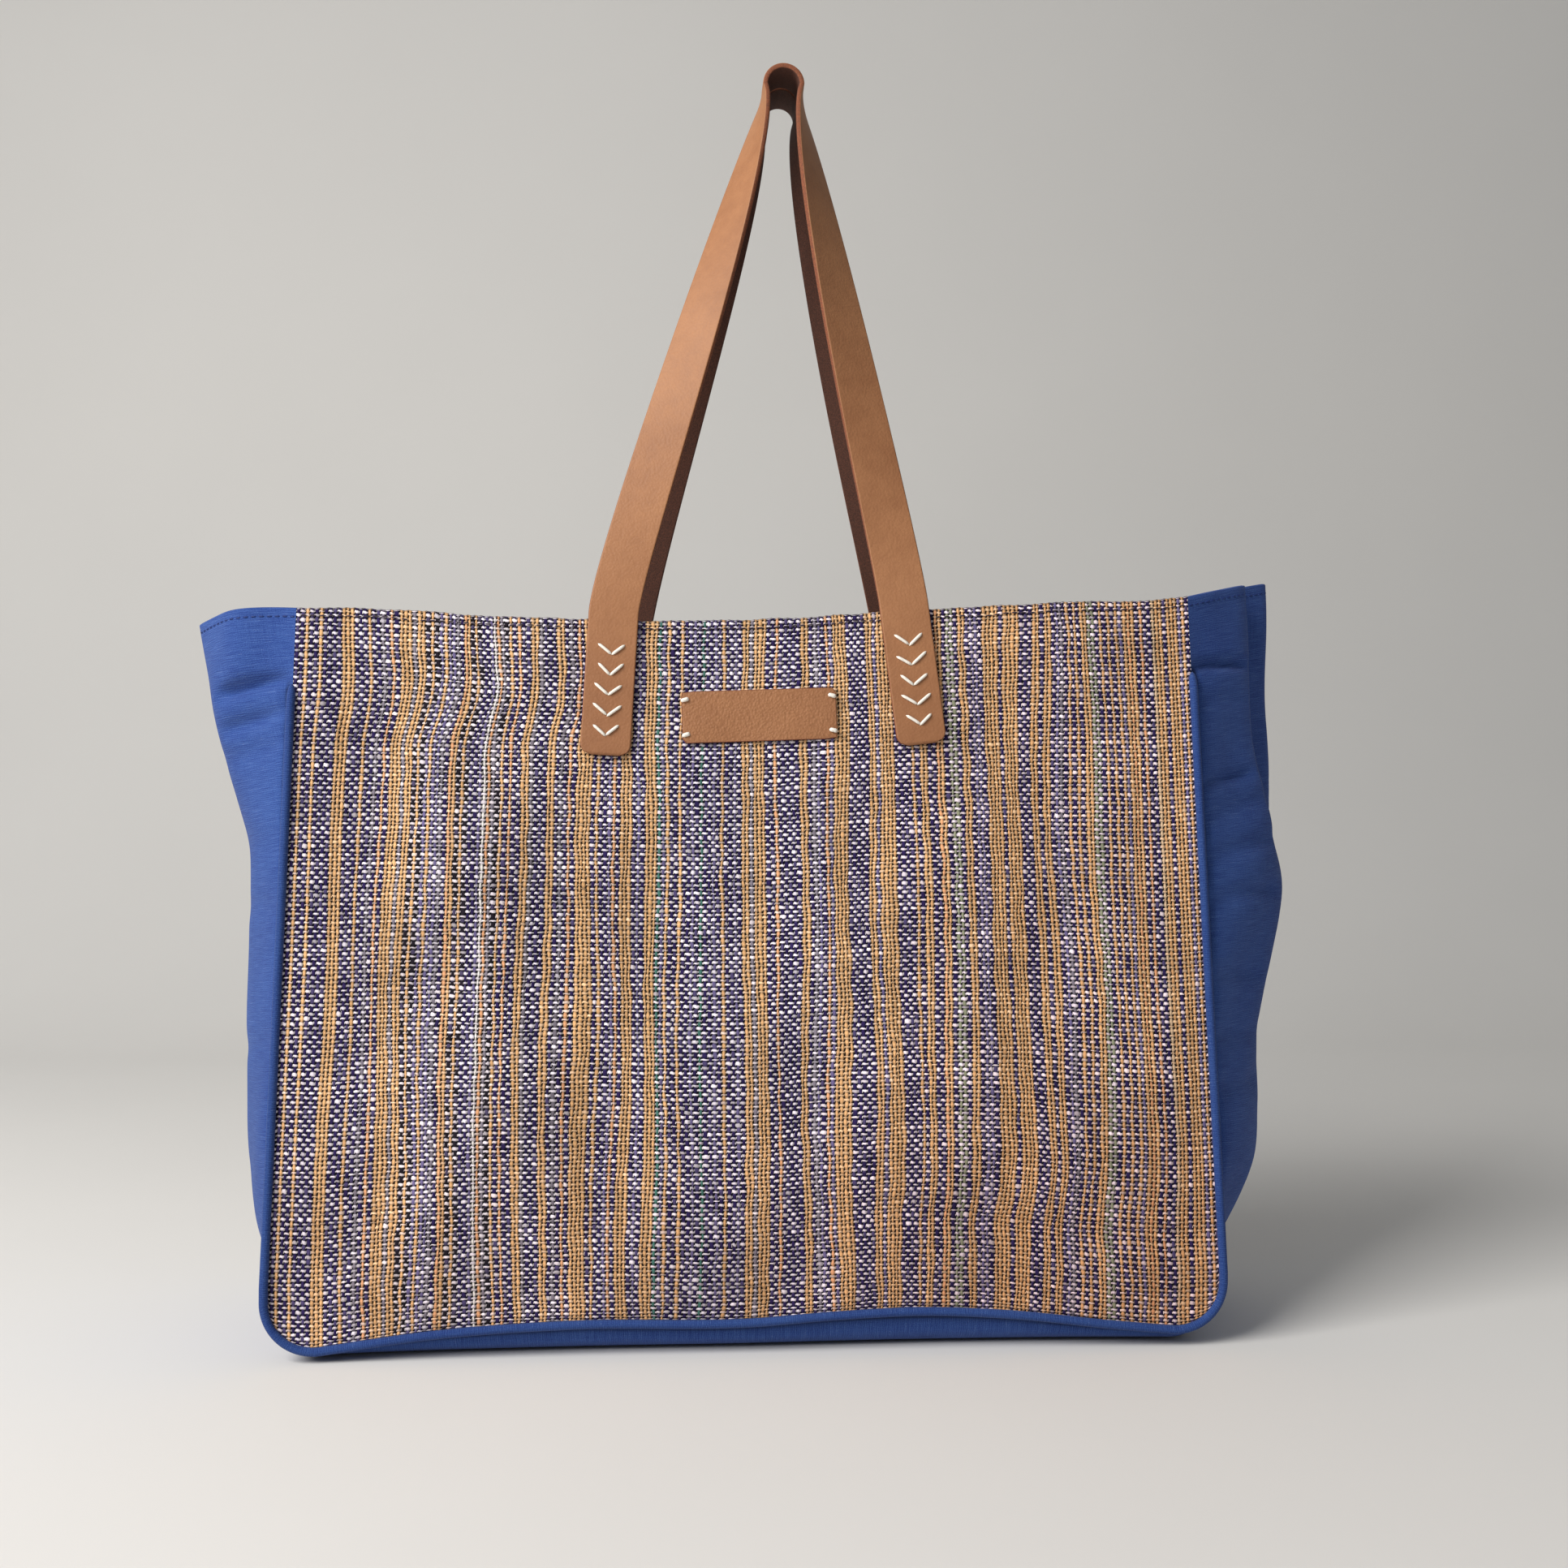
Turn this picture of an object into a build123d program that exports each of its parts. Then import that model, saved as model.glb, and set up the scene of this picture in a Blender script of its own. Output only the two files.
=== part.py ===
"""Tote bag: striped cloth panels, one-piece cotton gusset, piped seams, lining, leather handles and label."""
import math
import os

from build123d import *

# Body sizes in millimetres
panel_base_width = 464
rim_narrowing = 14
body_height = 370
base_depth = 130
rim_depth = 76
side_flare = 58
rim_drop = 11
rim_lift = 28
corner_radius = 24
base_roll = 12
seam_corner_height = 7
seam_arch = 11
seam_inset = 0.8
seam_arch_radius = 1400
bend_radius = 60
cloth_thickness = 1.6
band_relief = 0.5
lining_thickness = 0.8
layer_gap = 0.25
cut_overrun = 30

# Piping sizes
piping_radius = 2
piping_proud = 0.9
piping_start = 36

# Handle sizes
strap_width = 25
strap_thickness = 2.8
tab_length = 68
tab_corner_radius = 5.5
tab_spacing = 146
tab_rise = 3
handle_rise = 280
loop_radius = 8
loop_sway = 18
centre_offset = 6
strap_gap = 1.6

# Label and thread sizes
label_width = 75
label_height = 26
label_thickness = 1.6
label_drop = 48
thread_radius = 0.75
chevron_half_width = 6.4
chevron_height = 5.2
chevron_pitch = 10
chevron_end_margin = 11
label_stitch_length = 4
label_stitch_margin = 5

# Counts, angles and shares
tab_tilt = 5
label_tilt = 2
chevrons_per_tab = 5
thread_sides = 6
piping_sides = 10
arch_steps = 8
leg_sections = 9
twist_power = 1.5
arch_power = 1.9
leg_start_pull_share = 0.1
leg_end_pull_share = 0.13
# Mouth edge from the left fold to the right one: place across, and rise above its lowest point
rim_shares = ((-1, 0), (-0.8, 0.16), (-0.44, 0.02), (0, 0), (0.25, 0.16), (0.55, 0.36), (0.8, 0.5), (1, 1))
# How far the two side folds stand out, level by level up the leaning walls
flare_level_shares = (0, 0.05, 0.15, 0.35, 0.5, 0.62, 0.8, 1, 1.1)
left_flare_shares = (0, 0.28, 0.38, 0.46, 0.5, 0.54, 0.85, 1, 1.06)
right_flare_shares = (0, 0.42, 0.76, 0.82, 0.95, 0.99, 1, 1, 1)
# Start and end of each thick dark warp band, across the cloth from its left side
dark_band_shares = (
    (0.012, 0.05), (0.065, 0.08), (0.085, 0.11), (0.147, 0.18), (0.206, 0.217),
    (0.29, 0.312), (0.335, 0.361), (0.374, 0.388), (0.4, 0.465), (0.469, 0.487),
    (0.512, 0.551), (0.557, 0.585), (0.602, 0.625), (0.658, 0.679), (0.688, 0.753),
    (0.796, 0.808), (0.83, 0.846), (0.88, 0.887), (0.914, 0.928), (0.95, 0.959),
)

half_base = panel_base_width / 2
half_rim = (panel_base_width - rim_narrowing) / 2
open_top = body_height + cut_overrun
lean_start = corner_radius + base_roll
lean_height = body_height - lean_start
lean_angle = math.atan2((base_depth - rim_depth) / 2, lean_height)
panel_normal = Vector(0, -math.cos(lean_angle), math.sin(lean_angle))
panel_up = Vector(0, math.sin(lean_angle), math.cos(lean_angle))


def climb(z):
    """Share of the leaning height reached at z: 0 where the walls start to lean, 1 at the rim."""
    return (z - lean_start) / lean_height


def half_width(z):
    return half_base + (half_rim - half_base) * climb(z)


def half_depth(z):
    return (base_depth + (rim_depth - base_depth) * climb(z)) / 2


def mouth_points():
    span = half_rim + side_flare
    return [(span * across, body_height - rim_drop + rim_lift * rise) for across, rise in rim_shares]


def rim_height(x):
    """Height of the mouth edge at x, read between two points of its table."""
    points = mouth_points()
    left, right = next(pair for pair in zip(points, points[1:]) if x <= pair[1][0])
    return left[1] + (right[1] - left[1]) * (x - left[0]) / (right[0] - left[0])


def body_section(level, left_flare, right_flare, inset):
    """One level of the body: straight front and back edges, arched sides."""
    z = lean_start + lean_height * level
    width = half_width(z) - inset
    depth = half_depth(z) - inset
    turns = [2 * step / arch_steps - 1 for step in range(arch_steps + 1)]
    arch = [side_flare * (1 - abs(turn) ** arch_power) for turn in turns]
    right = [(width + right_flare * out, depth * turn) for out, turn in zip(arch, turns)]
    left = [(-width - left_flare * out, -depth * turn) for out, turn in zip(arch, turns)]
    return Plane.XY.offset(z) * make_face(Polyline(*right, *left, close=True))


def base_view(half_span, inset, radius):
    """Side or front view of the upright lower body, its two base corners rounded."""
    reach = half_span - inset
    corners = [(-reach, inset), (reach, inset), (reach, lean_start), (-reach, lean_start)]
    face = make_face(Polyline(*corners, close=True))
    return fillet(face.vertices().sort_by(Axis.Y)[:2], radius - inset)


def bag_body(inset):
    """The body as a solid, shrunk by the inset: a block with rolled edges below, lofted arches above."""
    front_view = Plane.XZ * base_view(half_base, inset, corner_radius)
    side_view = Plane.YZ * base_view(base_depth / 2, inset, base_roll)
    lower = extrude(front_view, base_depth, both=True)
    lower = lower & extrude(side_view, panel_base_width, both=True)
    stations = zip(flare_level_shares, left_flare_shares, right_flare_shares)
    return lower + loft([body_section(*station, inset) for station in stations], ruled=True)


def below_rim():
    """Everything below the mouth edge, which dips and then climbs to the right."""
    mouth = mouth_points()
    side = half_rim + side_flare + cut_overrun
    left_edge = [(-side, -cut_overrun), (-side, mouth[0][1]), mouth[0]]
    right_edge = [mouth[-1], (side, mouth[-1][1]), (side, -cut_overrun)]
    frame = Polyline(*right_edge, *left_edge)
    return extrude(Plane.XZ * make_face(Spline(*mouth) + frame), base_depth, both=True)


def seam_points(top, shift):
    """Corners of the front seam from one end to the other, moved outward by the shift."""
    side = [
        (half_width(top) + shift, -half_depth(top) - shift, top),
        (half_base + shift, -base_depth / 2 - shift, lean_start),
        (half_base + shift, -base_depth / 2 - shift, seam_corner_height - shift),
    ]
    middle = (0, -base_depth / 2 - shift, seam_corner_height + seam_arch - shift)
    return [(-x, y, z) for x, y, z in side] + [middle] + side[::-1]


seam_radii = [bend_radius, corner_radius, seam_arch_radius, corner_radius, bend_radius]


def panel_outline():
    """Front view of one cloth panel as a tall prism."""
    points = [(x, z) for x, y, z in seam_points(open_top, -seam_inset)]
    seam = FilletPolyline(*points, radius=seam_radii)
    return extrude(Plane.XZ * make_face(seam + Line(points[-1], points[0])), base_depth)


def front_slab(near, far):
    """A layer of the front wall between two depths behind its outer face."""
    low = -base_depth / 2
    high = -half_depth(open_top)
    outer = [(low + near, 0), (low + near, lean_start), (high + near, open_top)]
    inner = [(low + far, 0), (low + far, lean_start), (high + far, open_top)]
    return Plane.YZ * make_face(Polyline(*outer, *inner[::-1], close=True))


def front_panel_solid():
    """Cloth sheet with its thick dark warp bands standing proud."""
    sheet = extrude(front_slab(0, cloth_thickness), panel_base_width, both=True)
    raised = front_slab(-band_relief, 0)
    bands = []
    for start, end in dark_band_shares:
        left = Pos(panel_base_width * start - half_base, 0, 0) * raised
        bands.append(extrude(left, panel_base_width * (end - start)))
    return (sheet + bands) & panel_outline()


def piping_solid(radius):
    """Cord in the front seam."""
    points = seam_points(body_height - piping_start, piping_proud)
    path = FilletPolyline(*points, radius=seam_radii)
    return sweep(Plane(path @ 0, z_dir=path % 0) * RegularPolygon(radius, piping_sides), path)


def tab_plane(side):
    """Frame of one strap end at the mouth edge: x across the strap, y up along it, z away from the panel."""
    x = centre_offset + side * tab_spacing / 2
    z = rim_height(x)
    turn = math.radians(side * tab_tilt)
    across = Vector(1, 0, 0) * math.cos(turn) + panel_up * math.sin(turn)
    lift = band_relief + layer_gap
    return Plane(Vector(x, -half_depth(z), z) + panel_normal * lift, x_dir=across, z_dir=panel_normal)


def strap_tab(side):
    """Flat sewn end of a strap, its two lower corners rounded."""
    outline = Rectangle(strap_width, tab_length + tab_rise, align=(Align.CENTER, Align.MAX))
    lower_corners = outline.vertices().sort_by(Axis.Y)[:2]
    outline = Pos(0, tab_rise) * fillet(lower_corners, tab_corner_radius)
    return extrude(tab_plane(side) * outline, strap_thickness)


def loop_centre():
    top = body_height + handle_rise
    return Vector(loop_sway, -(strap_width + strap_gap) / 2, top - loop_radius - strap_thickness)


def strap_leg(side):
    """Strap from its tab to the loop, turning a quarter so that its inner edge comes to the front."""
    tab = tab_plane(side)
    start = tab.from_local_coords(Vector(0, tab_rise, strap_thickness / 2))
    end = loop_centre() + Vector(side * (loop_radius + strap_thickness / 2), 0, 0)
    reach = (end - start).length
    path = Bezier(start, start + tab.y_dir * reach * leg_start_pull_share,
                  end - Vector(0, 0, 1) * reach * leg_end_pull_share, end)
    sections = []
    for step in range(leg_sections):
        share = step / (leg_sections - 1)
        turn = math.radians(90) * share**twist_power
        across = tab.x_dir * math.cos(turn) + Vector(0, side, 0) * math.sin(turn)
        tangent = path % share
        across = across - tangent * across.dot(tangent)
        level = Plane(path @ share, x_dir=across, z_dir=tangent)
        sections.append(level * Rectangle(strap_width, strap_thickness))
    return loft(sections)


def front_handle_solid():
    """One leather strap: two tabs, two turning legs and the bent loop between them."""
    centre = loop_centre()
    bend_start = Plane(centre - Vector(loop_radius + strap_thickness / 2, 0, 0))
    bend = revolve(bend_start * Rectangle(strap_thickness, strap_width), Axis(centre, (0, 1, 0)), 180)
    return strap_tab(-1) + strap_leg(-1) + bend + strap_leg(1) + strap_tab(1)


def thread(plane, start, end):
    """Short six-sided stitch lying on a plane between two points."""
    first, last = [plane.from_local_coords(Vector(*point, thread_radius)) for point in (start, end)]
    section = Plane(first, z_dir=last - first) * RegularPolygon(thread_radius, thread_sides)
    return extrude(section, (last - first).length)


def front_stitches():
    """Chevrons of hand-sewn thread on both tabs, their two arms not quite meeting."""
    stitches = []
    for side in (-1, 1):
        face = tab_plane(side).offset(strap_thickness + layer_gap)
        for row in range(chevrons_per_tab):
            low = tab_rise - tab_length + chevron_end_margin + row * chevron_pitch
            for arm in (-1, 1):
                foot = (arm * 2 * thread_radius, low)
                head = (arm * chevron_half_width, low + chevron_height)
                stitches.append(thread(face, foot, head))
    return Compound(children=stitches)


def label_plane():
    """Frame of the label's seat on the front panel."""
    turn = math.radians(label_tilt)
    across = Vector(1, 0, 0) * math.cos(turn) + panel_up * math.sin(turn)
    z = body_height - label_drop - rim_drop
    lift = band_relief + layer_gap
    return Plane(Vector(centre_offset, -half_depth(z), z) + panel_normal * lift, x_dir=across, z_dir=panel_normal)


def label_solid():
    return extrude(label_plane() * Rectangle(label_width, label_height), label_thickness)


def label_stitches():
    """One short stitch at each corner of the label."""
    face = label_plane().offset(label_thickness + layer_gap)
    stitches = []
    for side in (-1, 1):
        for level in (-1, 1):
            outer = side * (label_width / 2 - thread_radius)
            y = level * (label_height / 2 - label_stitch_margin)
            stitches.append(thread(face, (outer, y), (outer - side * label_stitch_length, y)))
    return Compound(children=stitches)


def opposite(part):
    """The same piece on the other side of the bag."""
    return mirror(part, Plane.XZ)


kept = below_rim()
piping_room = piping_solid(piping_radius + layer_gap)
front_panel = (front_panel_solid() & kept) - piping_room
shell = (bag_body(0) & kept) - bag_body(cloth_thickness)
panel_cutter = front_slab(-cut_overrun, cloth_thickness + layer_gap)
panel_room = extrude(panel_cutter, panel_base_width, both=True) & panel_outline()
gusset = shell - panel_room - opposite(panel_room) - piping_room - opposite(piping_room)
lining_outside = cloth_thickness + layer_gap
lining_inside = lining_outside + lining_thickness
lining = (bag_body(lining_outside) & kept) - bag_body(lining_inside)
front_piping = piping_solid(piping_radius)
front_handle = front_handle_solid()
front_handle_stitches = front_stitches()

nodes = {
    "front_panel": front_panel,
    "back_panel": opposite(front_panel),
    "gusset": gusset,
    "lining": lining,
    "front_piping": front_piping,
    "back_piping": opposite(front_piping),
    "front_handle": front_handle,
    "back_handle": opposite(front_handle),
    "front_handle_stitches": front_handle_stitches,
    "back_handle_stitches": opposite(front_handle_stitches),
    "label": label_solid(),
    "label_stitches": label_stitches(),
}

os.makedirs("parts", exist_ok=True)
for name, piece in nodes.items():
    export_step(piece, f"parts/{name}.step")
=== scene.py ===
"""Tote bag looks: woven striped panels, blue cotton gusset and piping, leather handles and label."""
import math

import bpy
import numpy as np
from mathutils import Matrix


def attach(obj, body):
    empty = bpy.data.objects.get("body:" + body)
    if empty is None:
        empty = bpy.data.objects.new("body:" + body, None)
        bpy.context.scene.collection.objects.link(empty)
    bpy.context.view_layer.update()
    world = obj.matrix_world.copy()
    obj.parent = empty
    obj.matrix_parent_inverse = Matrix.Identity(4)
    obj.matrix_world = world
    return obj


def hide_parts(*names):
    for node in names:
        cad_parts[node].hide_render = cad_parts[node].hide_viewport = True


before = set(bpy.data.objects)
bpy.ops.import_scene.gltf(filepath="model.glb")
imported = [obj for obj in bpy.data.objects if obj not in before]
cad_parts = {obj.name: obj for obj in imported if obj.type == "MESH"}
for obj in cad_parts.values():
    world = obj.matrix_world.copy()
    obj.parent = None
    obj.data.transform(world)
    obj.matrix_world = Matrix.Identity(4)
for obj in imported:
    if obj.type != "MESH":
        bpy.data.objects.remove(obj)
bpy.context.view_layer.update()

bl_info = {
    "name": "Tote Bag",
    "version": (1, 0, 0),
    "blender": (4, 5, 0),
    "location": "View3D > Sidebar > Tote Bag",
    "description": "Dresses a tote bag in woven cloth, cotton, leather and thread",
    "category": "Object",
}

# Mouth edge from the left fold to the right one: place across, and rise above its lowest point
RIM_SHARES = ((-1, 0), (-0.8, 0.16), (-0.44, 0.02), (0, 0), (0.25, 0.16), (0.55, 0.36), (0.8, 0.5), (1, 1))
# How far the two side folds stand out, level by level up the leaning walls
FLARE_SHARES = {
    -1: (
        (0, 0.04), (0.05, 0.26), (0.15, 0.38), (0.35, 0.44), (0.5, 0.46), (0.61, 0.48), (0.7, 0.61),
        (0.78, 0.745), (0.86, 0.885), (0.94, 0.97), (1, 1.01),
    ),
    1: (
        (0, 0.08), (0.05, 0.34), (0.13, 0.62), (0.22, 0.7), (0.35, 0.73), (0.45, 0.84), (0.55, 0.99),
        (0.63, 1.05), (0.8, 1.03), (1, 1.02),
    ),
}
# Lower seam from corner to corner: place across, and rise above the corners
SEAM_SHARES = (
    (-0.9, 0), (-0.66, 0.5), (-0.38, 0.75), (0, 0.72), (0.17, 0.9), (0.36, 1),
    (0.56, 0.82), (0.76, 0.43), (0.9, 0.2),
)
# Section of the right fold near the mouth, front to back: a ridge first, then the fuller rear
RIDGE_SHARES = (
    (-1, 0), (-0.7, 0.34), (-0.42, 0.62), (-0.31, 0.67), (-0.22, 0.6), (-0.08, 0.56), (0.12, 0.78), (0.36, 1),
    (0.62, 0.86), (1, 0),
)
# Warp from the left edge to the right one: a yarn's letter, then how many ends of it lie side by side
WARP_DRAFT = (
    "n2 o n2 o n4 o3 n3 o n2 g n p n o3 g o2 k o k l o l2 g n p o k o k "
    "n2 l w p g k o n p n2 o2 g n3 o2 n g n p n o4 n o n2 l p n o3 n l n o3 t l "
    "o n2 o n2 l n t n2 l n o n2 l n o2 g o3 n2 p n5 o2 n g l n p l o4 n5 "
    "o2 l o4 n4 o n o2 n2 p o n e2 n o2 n l2 n o4 n o4 n3 o2 n "
    "o2 n l g n o n o n o2 e2 n o n o n o l o p o n p n2 s o2 n o3 l o n"
)
# Soft creases of the gusset: side, distance below the mouth, depth, half height, and reach from the front
CREASES = (
    (1, 0.041, 0.0050, 0.0028, 0.36), (1, 0.058, 0.0014, 0.0040, 0.36), (1, 0.098, 0.0036, 0.0032, 0.36),
    (1, 0.116, 0.0018, 0.005, 0.4), (1, 0.140, 0.0024, 0.005, 0.42), (1, 0.166, 0.0028, 0.005, 0.42),
    (1, 0.205, 0.0028, 0.006, 0.42), (1, 0.232, 0.0020, 0.005, 0.42), (1, 0.258, 0.0024, 0.006, 0.42),
    (1, 0.312, 0.0014, 0.006, 0.36),
    (-1, 0.038, 0.0064, 0.0036, 0.36), (-1, 0.054, 0.0036, 0.004, 0.4), (-1, 0.068, 0.0014, 0.006, 0.5),
    (-1, 0.115, 0.0010, 0.009, 0.5), (-1, 0.150, 0.0010, 0.006, 0.5), (-1, 0.215, 0.0010, 0.006, 0.5),
)
# Upright folds of the front cloth: height, place across, half width, and where each fades in and out again
UPRIGHT_FOLDS = (
    (0.0055, -0.58, 0.13, (0.06, 0.18), (0.24, 0.33)),
    (-0.0042, -0.83, 0.10, (0.10, 0.2), (0.28, 0.34)),
    (-0.0030, 0.62, 0.12, (0.08, 0.2), (0.24, 0.33)),
)
# Roundness of the side folds from seam to seam
ARCH_POWER = 1.9
# Legs of a handle: pulls of the curve below and above, as shares of its reach, and how late it twists
LEG_PULL_SHARES = (0.1, 0.09)
TWIST_POWER = 1.75
# Radii of the machine thread on the panels and on the gusset
PANEL_THREAD_RADIUS = 0.00034
GUSSET_THREAD_RADIUS = 0.00035
# Camera: place, turn to the right, turn upwards, and lens in millimetres
CAMERA_PLACE = (-0.037, -0.8915, 0.2578)
CAMERA_YAW = math.radians(3.64)
CAMERA_PITCH = math.radians(1.28)
CAMERA_LENS = 38.94
# Soft window light from the upper left, and the strength of the daylight where it lights and where it is seen
WINDOW_PLACE = (-1.5, -1.25, 1.55)
WINDOW_TARGET = (0, 0, 0.25)
WINDOW_SIZE = 1.3
WINDOW_POWER = 70
WINDOW_COLOUR = (1.0, 0.98, 0.96)
DAYLIGHT = 0.24
SEEN_DAYLIGHT = 0.62


def srgb(*levels):
    """Linear colour from 0 to 255 levels as they look on a screen."""
    shares = np.array(levels) / 255
    linear = np.where(shares <= 0.04045, shares / 12.92, ((shares + 0.055) / 1.055) ** 2.4)
    return tuple(float(level) for level in linear)


def length(name, description, default):
    return bpy.props.FloatProperty(
        name=name, description=description, default=default, unit="LENGTH", precision=4
    )


def angle(name, description, degrees):
    return bpy.props.FloatProperty(
        name=name, description=description, default=math.radians(degrees), subtype="ANGLE"
    )


def paint(name, description, *levels):
    return bpy.props.FloatVectorProperty(
        name=name, description=description, default=srgb(*levels), subtype="COLOR", size=3, min=0, max=1
    )


class ToteSizes(bpy.types.PropertyGroup):
    """Sizes of the bag, in metres."""

    base_width: length("Base width", "Width of a panel where its walls start to lean", 0.464)
    rim_narrowing: length("Rim narrowing", "How much narrower a panel is at the mouth", 0.014)
    body_height: length("Body height", "Height of the body at its sides", 0.370)
    base_depth: length("Base depth", "Depth of the body at the base", 0.130)
    rim_depth: length("Rim depth", "Depth of the body at the mouth", 0.076)
    lean_start: length("Lean start", "Height at which the walls start to lean", 0.036)
    side_flare: length("Side flare", "How far a side fold stands out at the mouth", 0.058)
    rim_drop: length("Rim drop", "How far the mouth edge dips below the body height", 0.011)
    rim_lift: length("Rim lift", "How far the right fold rises above the dip", 0.028)
    corner_radius: length("Corner radius", "Round of the lower corners", 0.024)
    seam_low: length("Seam low", "Height of the lower seam at its corners", 0.005)
    seam_arch: length("Seam arch", "Rise of the lower seam towards its middle", 0.014)
    pick_pitch: length("Pick pitch", "Distance from one weft thread to the next", 0.00217)
    cloth_thickness: length("Cloth thickness", "Thickness of the woven cloth", 0.0016)
    hem_depth: length("Hem depth", "Cloth turned in at the mouth", 0.012)
    piping_radius: length("Piping radius", "Radius of the corded seam", 0.0021)
    piping_start: length("Piping start", "Distance from the mouth to the ends of the piping", 0.037)
    strap_width: length("Strap width", "Width of a leather handle", 0.025)
    strap_thickness: length("Strap thickness", "Thickness of a leather handle", 0.0028)
    strap_gap: length("Strap gap", "Space between the two handles at the top", 0.0016)
    strap_lift: length("Strap lift", "Space under the sewn strap ends", 0.0008)
    tab_length: length("Tab length", "Part of a strap that is sewn to a panel", 0.068)
    tab_rise: length("Tab rise", "Height above the mouth at which a strap starts to bend", 0.003)
    tab_corner: length("Tab corner", "Round of a strap end", 0.0055)
    tab_spacing: length("Tab spacing", "Distance between the two ends of a handle at the mouth", 0.1468)
    centre_offset: length("Centre offset", "Place of the handles right of the middle", 0.006)
    tab_shift: length("Tab shift", "How far left of their place the strap ends cross the mouth", 0.0011)
    back_shift: length("Back shift", "Place of the back handle's sewn ends right of the front's", 0.005)
    handle_rise: length("Handle rise", "Height of the handles above the body", 0.280)
    loop_radius: length("Loop radius", "Inside radius of a handle's top bend", 0.008)
    loop_sway: length("Loop sway", "Place of the top bend right of the middle", 0.018)
    label_width: length("Label width", "Width of the leather label", 0.0775)
    label_offset: length("Label offset", "Place of the label's middle right of the bag's", 0.0045)
    label_height: length("Label height", "Height of the leather label", 0.026)
    label_thickness: length("Label thickness", "Thickness of the leather label", 0.0016)
    label_drop: length("Label drop", "Distance of the label's middle below the mouth", 0.048)
    thread_radius: length("Thread radius", "Radius of the sewing thread on the leather", 0.00078)
    chevron_half: length("Chevron half", "Half width of a stitched chevron", 0.0070)
    chevron_height: length("Chevron height", "Height of a stitched chevron", 0.0060)
    chevron_pitch: length("Chevron pitch", "Distance between chevrons", 0.0102)
    chevron_margin: length("Chevron margin", "Distance of the lowest chevron from the strap end", 0.0095)
    topstitch_inset: length("Topstitch inset", "Distance of the mouth stitching from the edge", 0.0036)
    topstitch_pitch: length("Topstitch pitch", "Distance from one mouth stitch to the next", 0.0042)
    tab_tilt: angle("Tab tilt", "Outward lean of the strap ends", 5)
    tab_turn: angle("Tab turn", "Turn that both strap ends share", 1.8)
    label_tilt: angle("Label tilt", "Turn of the label", 2)


class ToteColours(bpy.types.PropertyGroup):
    """Colours of the yarns, cottons, leather and thread."""

    navy: paint("Navy yarn", "Dark violet blue warp", 46, 35, 82)
    black: paint("Black yarn", "Near-black warp", 36, 30, 40)
    grey: paint("Grey yarn", "Grey warp", 130, 122, 134)
    lilac: paint("Lilac yarn", "Grey violet warp", 108, 98, 140)
    ochre: paint("Ochre yarn", "Golden tan warp", 228, 177, 124)
    peach: paint("Peach yarn", "Orange tan warp", 232, 170, 124)
    white: paint("White yarn", "Single white warp", 230, 224, 218)
    teal: paint("Teal yarn", "Green blue warp", 76, 122, 112)
    sage: paint("Sage yarn", "Grey green warp", 150, 152, 126)
    sand: paint("Sand yarn", "Pale tan warp", 214, 188, 156)
    weft: paint("Weft yarn", "Lavender white weft", 246, 238, 248)
    warm_weft: paint("Warm weft", "Weft where it crosses tan ends", 238, 196, 152)
    blue_cotton: paint("Blue cotton", "Gusset and piping", 65, 97, 161)
    blue_shade: paint("Blue shade", "Darker threads of the cotton", 29, 53, 119)
    lining: paint("Lining", "Inside of the bag", 44, 62, 118)
    leather: paint("Leather", "Grain side of the leather", 178, 125, 84)
    leather_dark: paint("Leather shade", "Darker clouds of the grain side", 138, 90, 57)
    suede: paint("Suede", "Flesh side of the leather", 104, 62, 46)
    cut_edge: paint("Cut edge", "Cut edges of the leather", 146, 84, 52)
    thread: paint("Thread", "Hand-sewn thread", 246, 240, 228)
    mouth_thread: paint("Mouth thread", "Machine thread along the mouth", 58, 44, 58)
    floor: paint("Floor", "Floor and backdrop", 226, 224, 220)


def curve(place, knots):
    """Smooth curve through (place, value) knots: cubic pieces whose slopes follow the neighbouring knots."""
    places, values = np.array(knots, float).T
    slopes = np.gradient(values, places)
    piece = np.clip(np.searchsorted(places, place) - 1, 0, len(places) - 2)
    span = places[piece + 1] - places[piece]
    share = np.clip((place - places[piece]) / span, 0, 1)
    rest = 1 - share
    start = rest**2 * ((1 + 2 * share) * values[piece] + share * span * slopes[piece])
    return start + share**2 * ((1 + 2 * rest) * values[piece + 1] - rest * span * slopes[piece + 1])


def step(value, low, high):
    """Smooth step from 0 at low to 1 at high."""
    share = np.clip((value - low) / (high - low), 0, 1)
    return share * share * (3 - 2 * share)


def bell(value, middle, width):
    return np.exp(-(((value - middle) / width) ** 2))


def ripple(across, along, seed, waves=6):
    """Smooth seeded field near -1 to 1: a sum of plane waves of about one cycle per unit."""
    draw = np.random.default_rng(seed)
    heading = draw.uniform(0, 2 * np.pi, waves)
    beat = draw.uniform(0.6, 1.6, waves)
    phase = draw.uniform(0, 9, waves)
    turn = across[..., None] * np.cos(heading) + along[..., None] * np.sin(heading)
    return np.sin(2 * np.pi * beat * turn + phase).sum(-1) / math.sqrt(waves * 2)


def unit(vectors):
    return vectors / np.linalg.norm(vectors, axis=-1, keepdims=True)


def grid_normals(points):
    """Normals of a grid: its slope along the rows crossed with its slope along the columns."""
    return unit(np.cross(np.gradient(points, axis=1), np.gradient(points, axis=0)))


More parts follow.
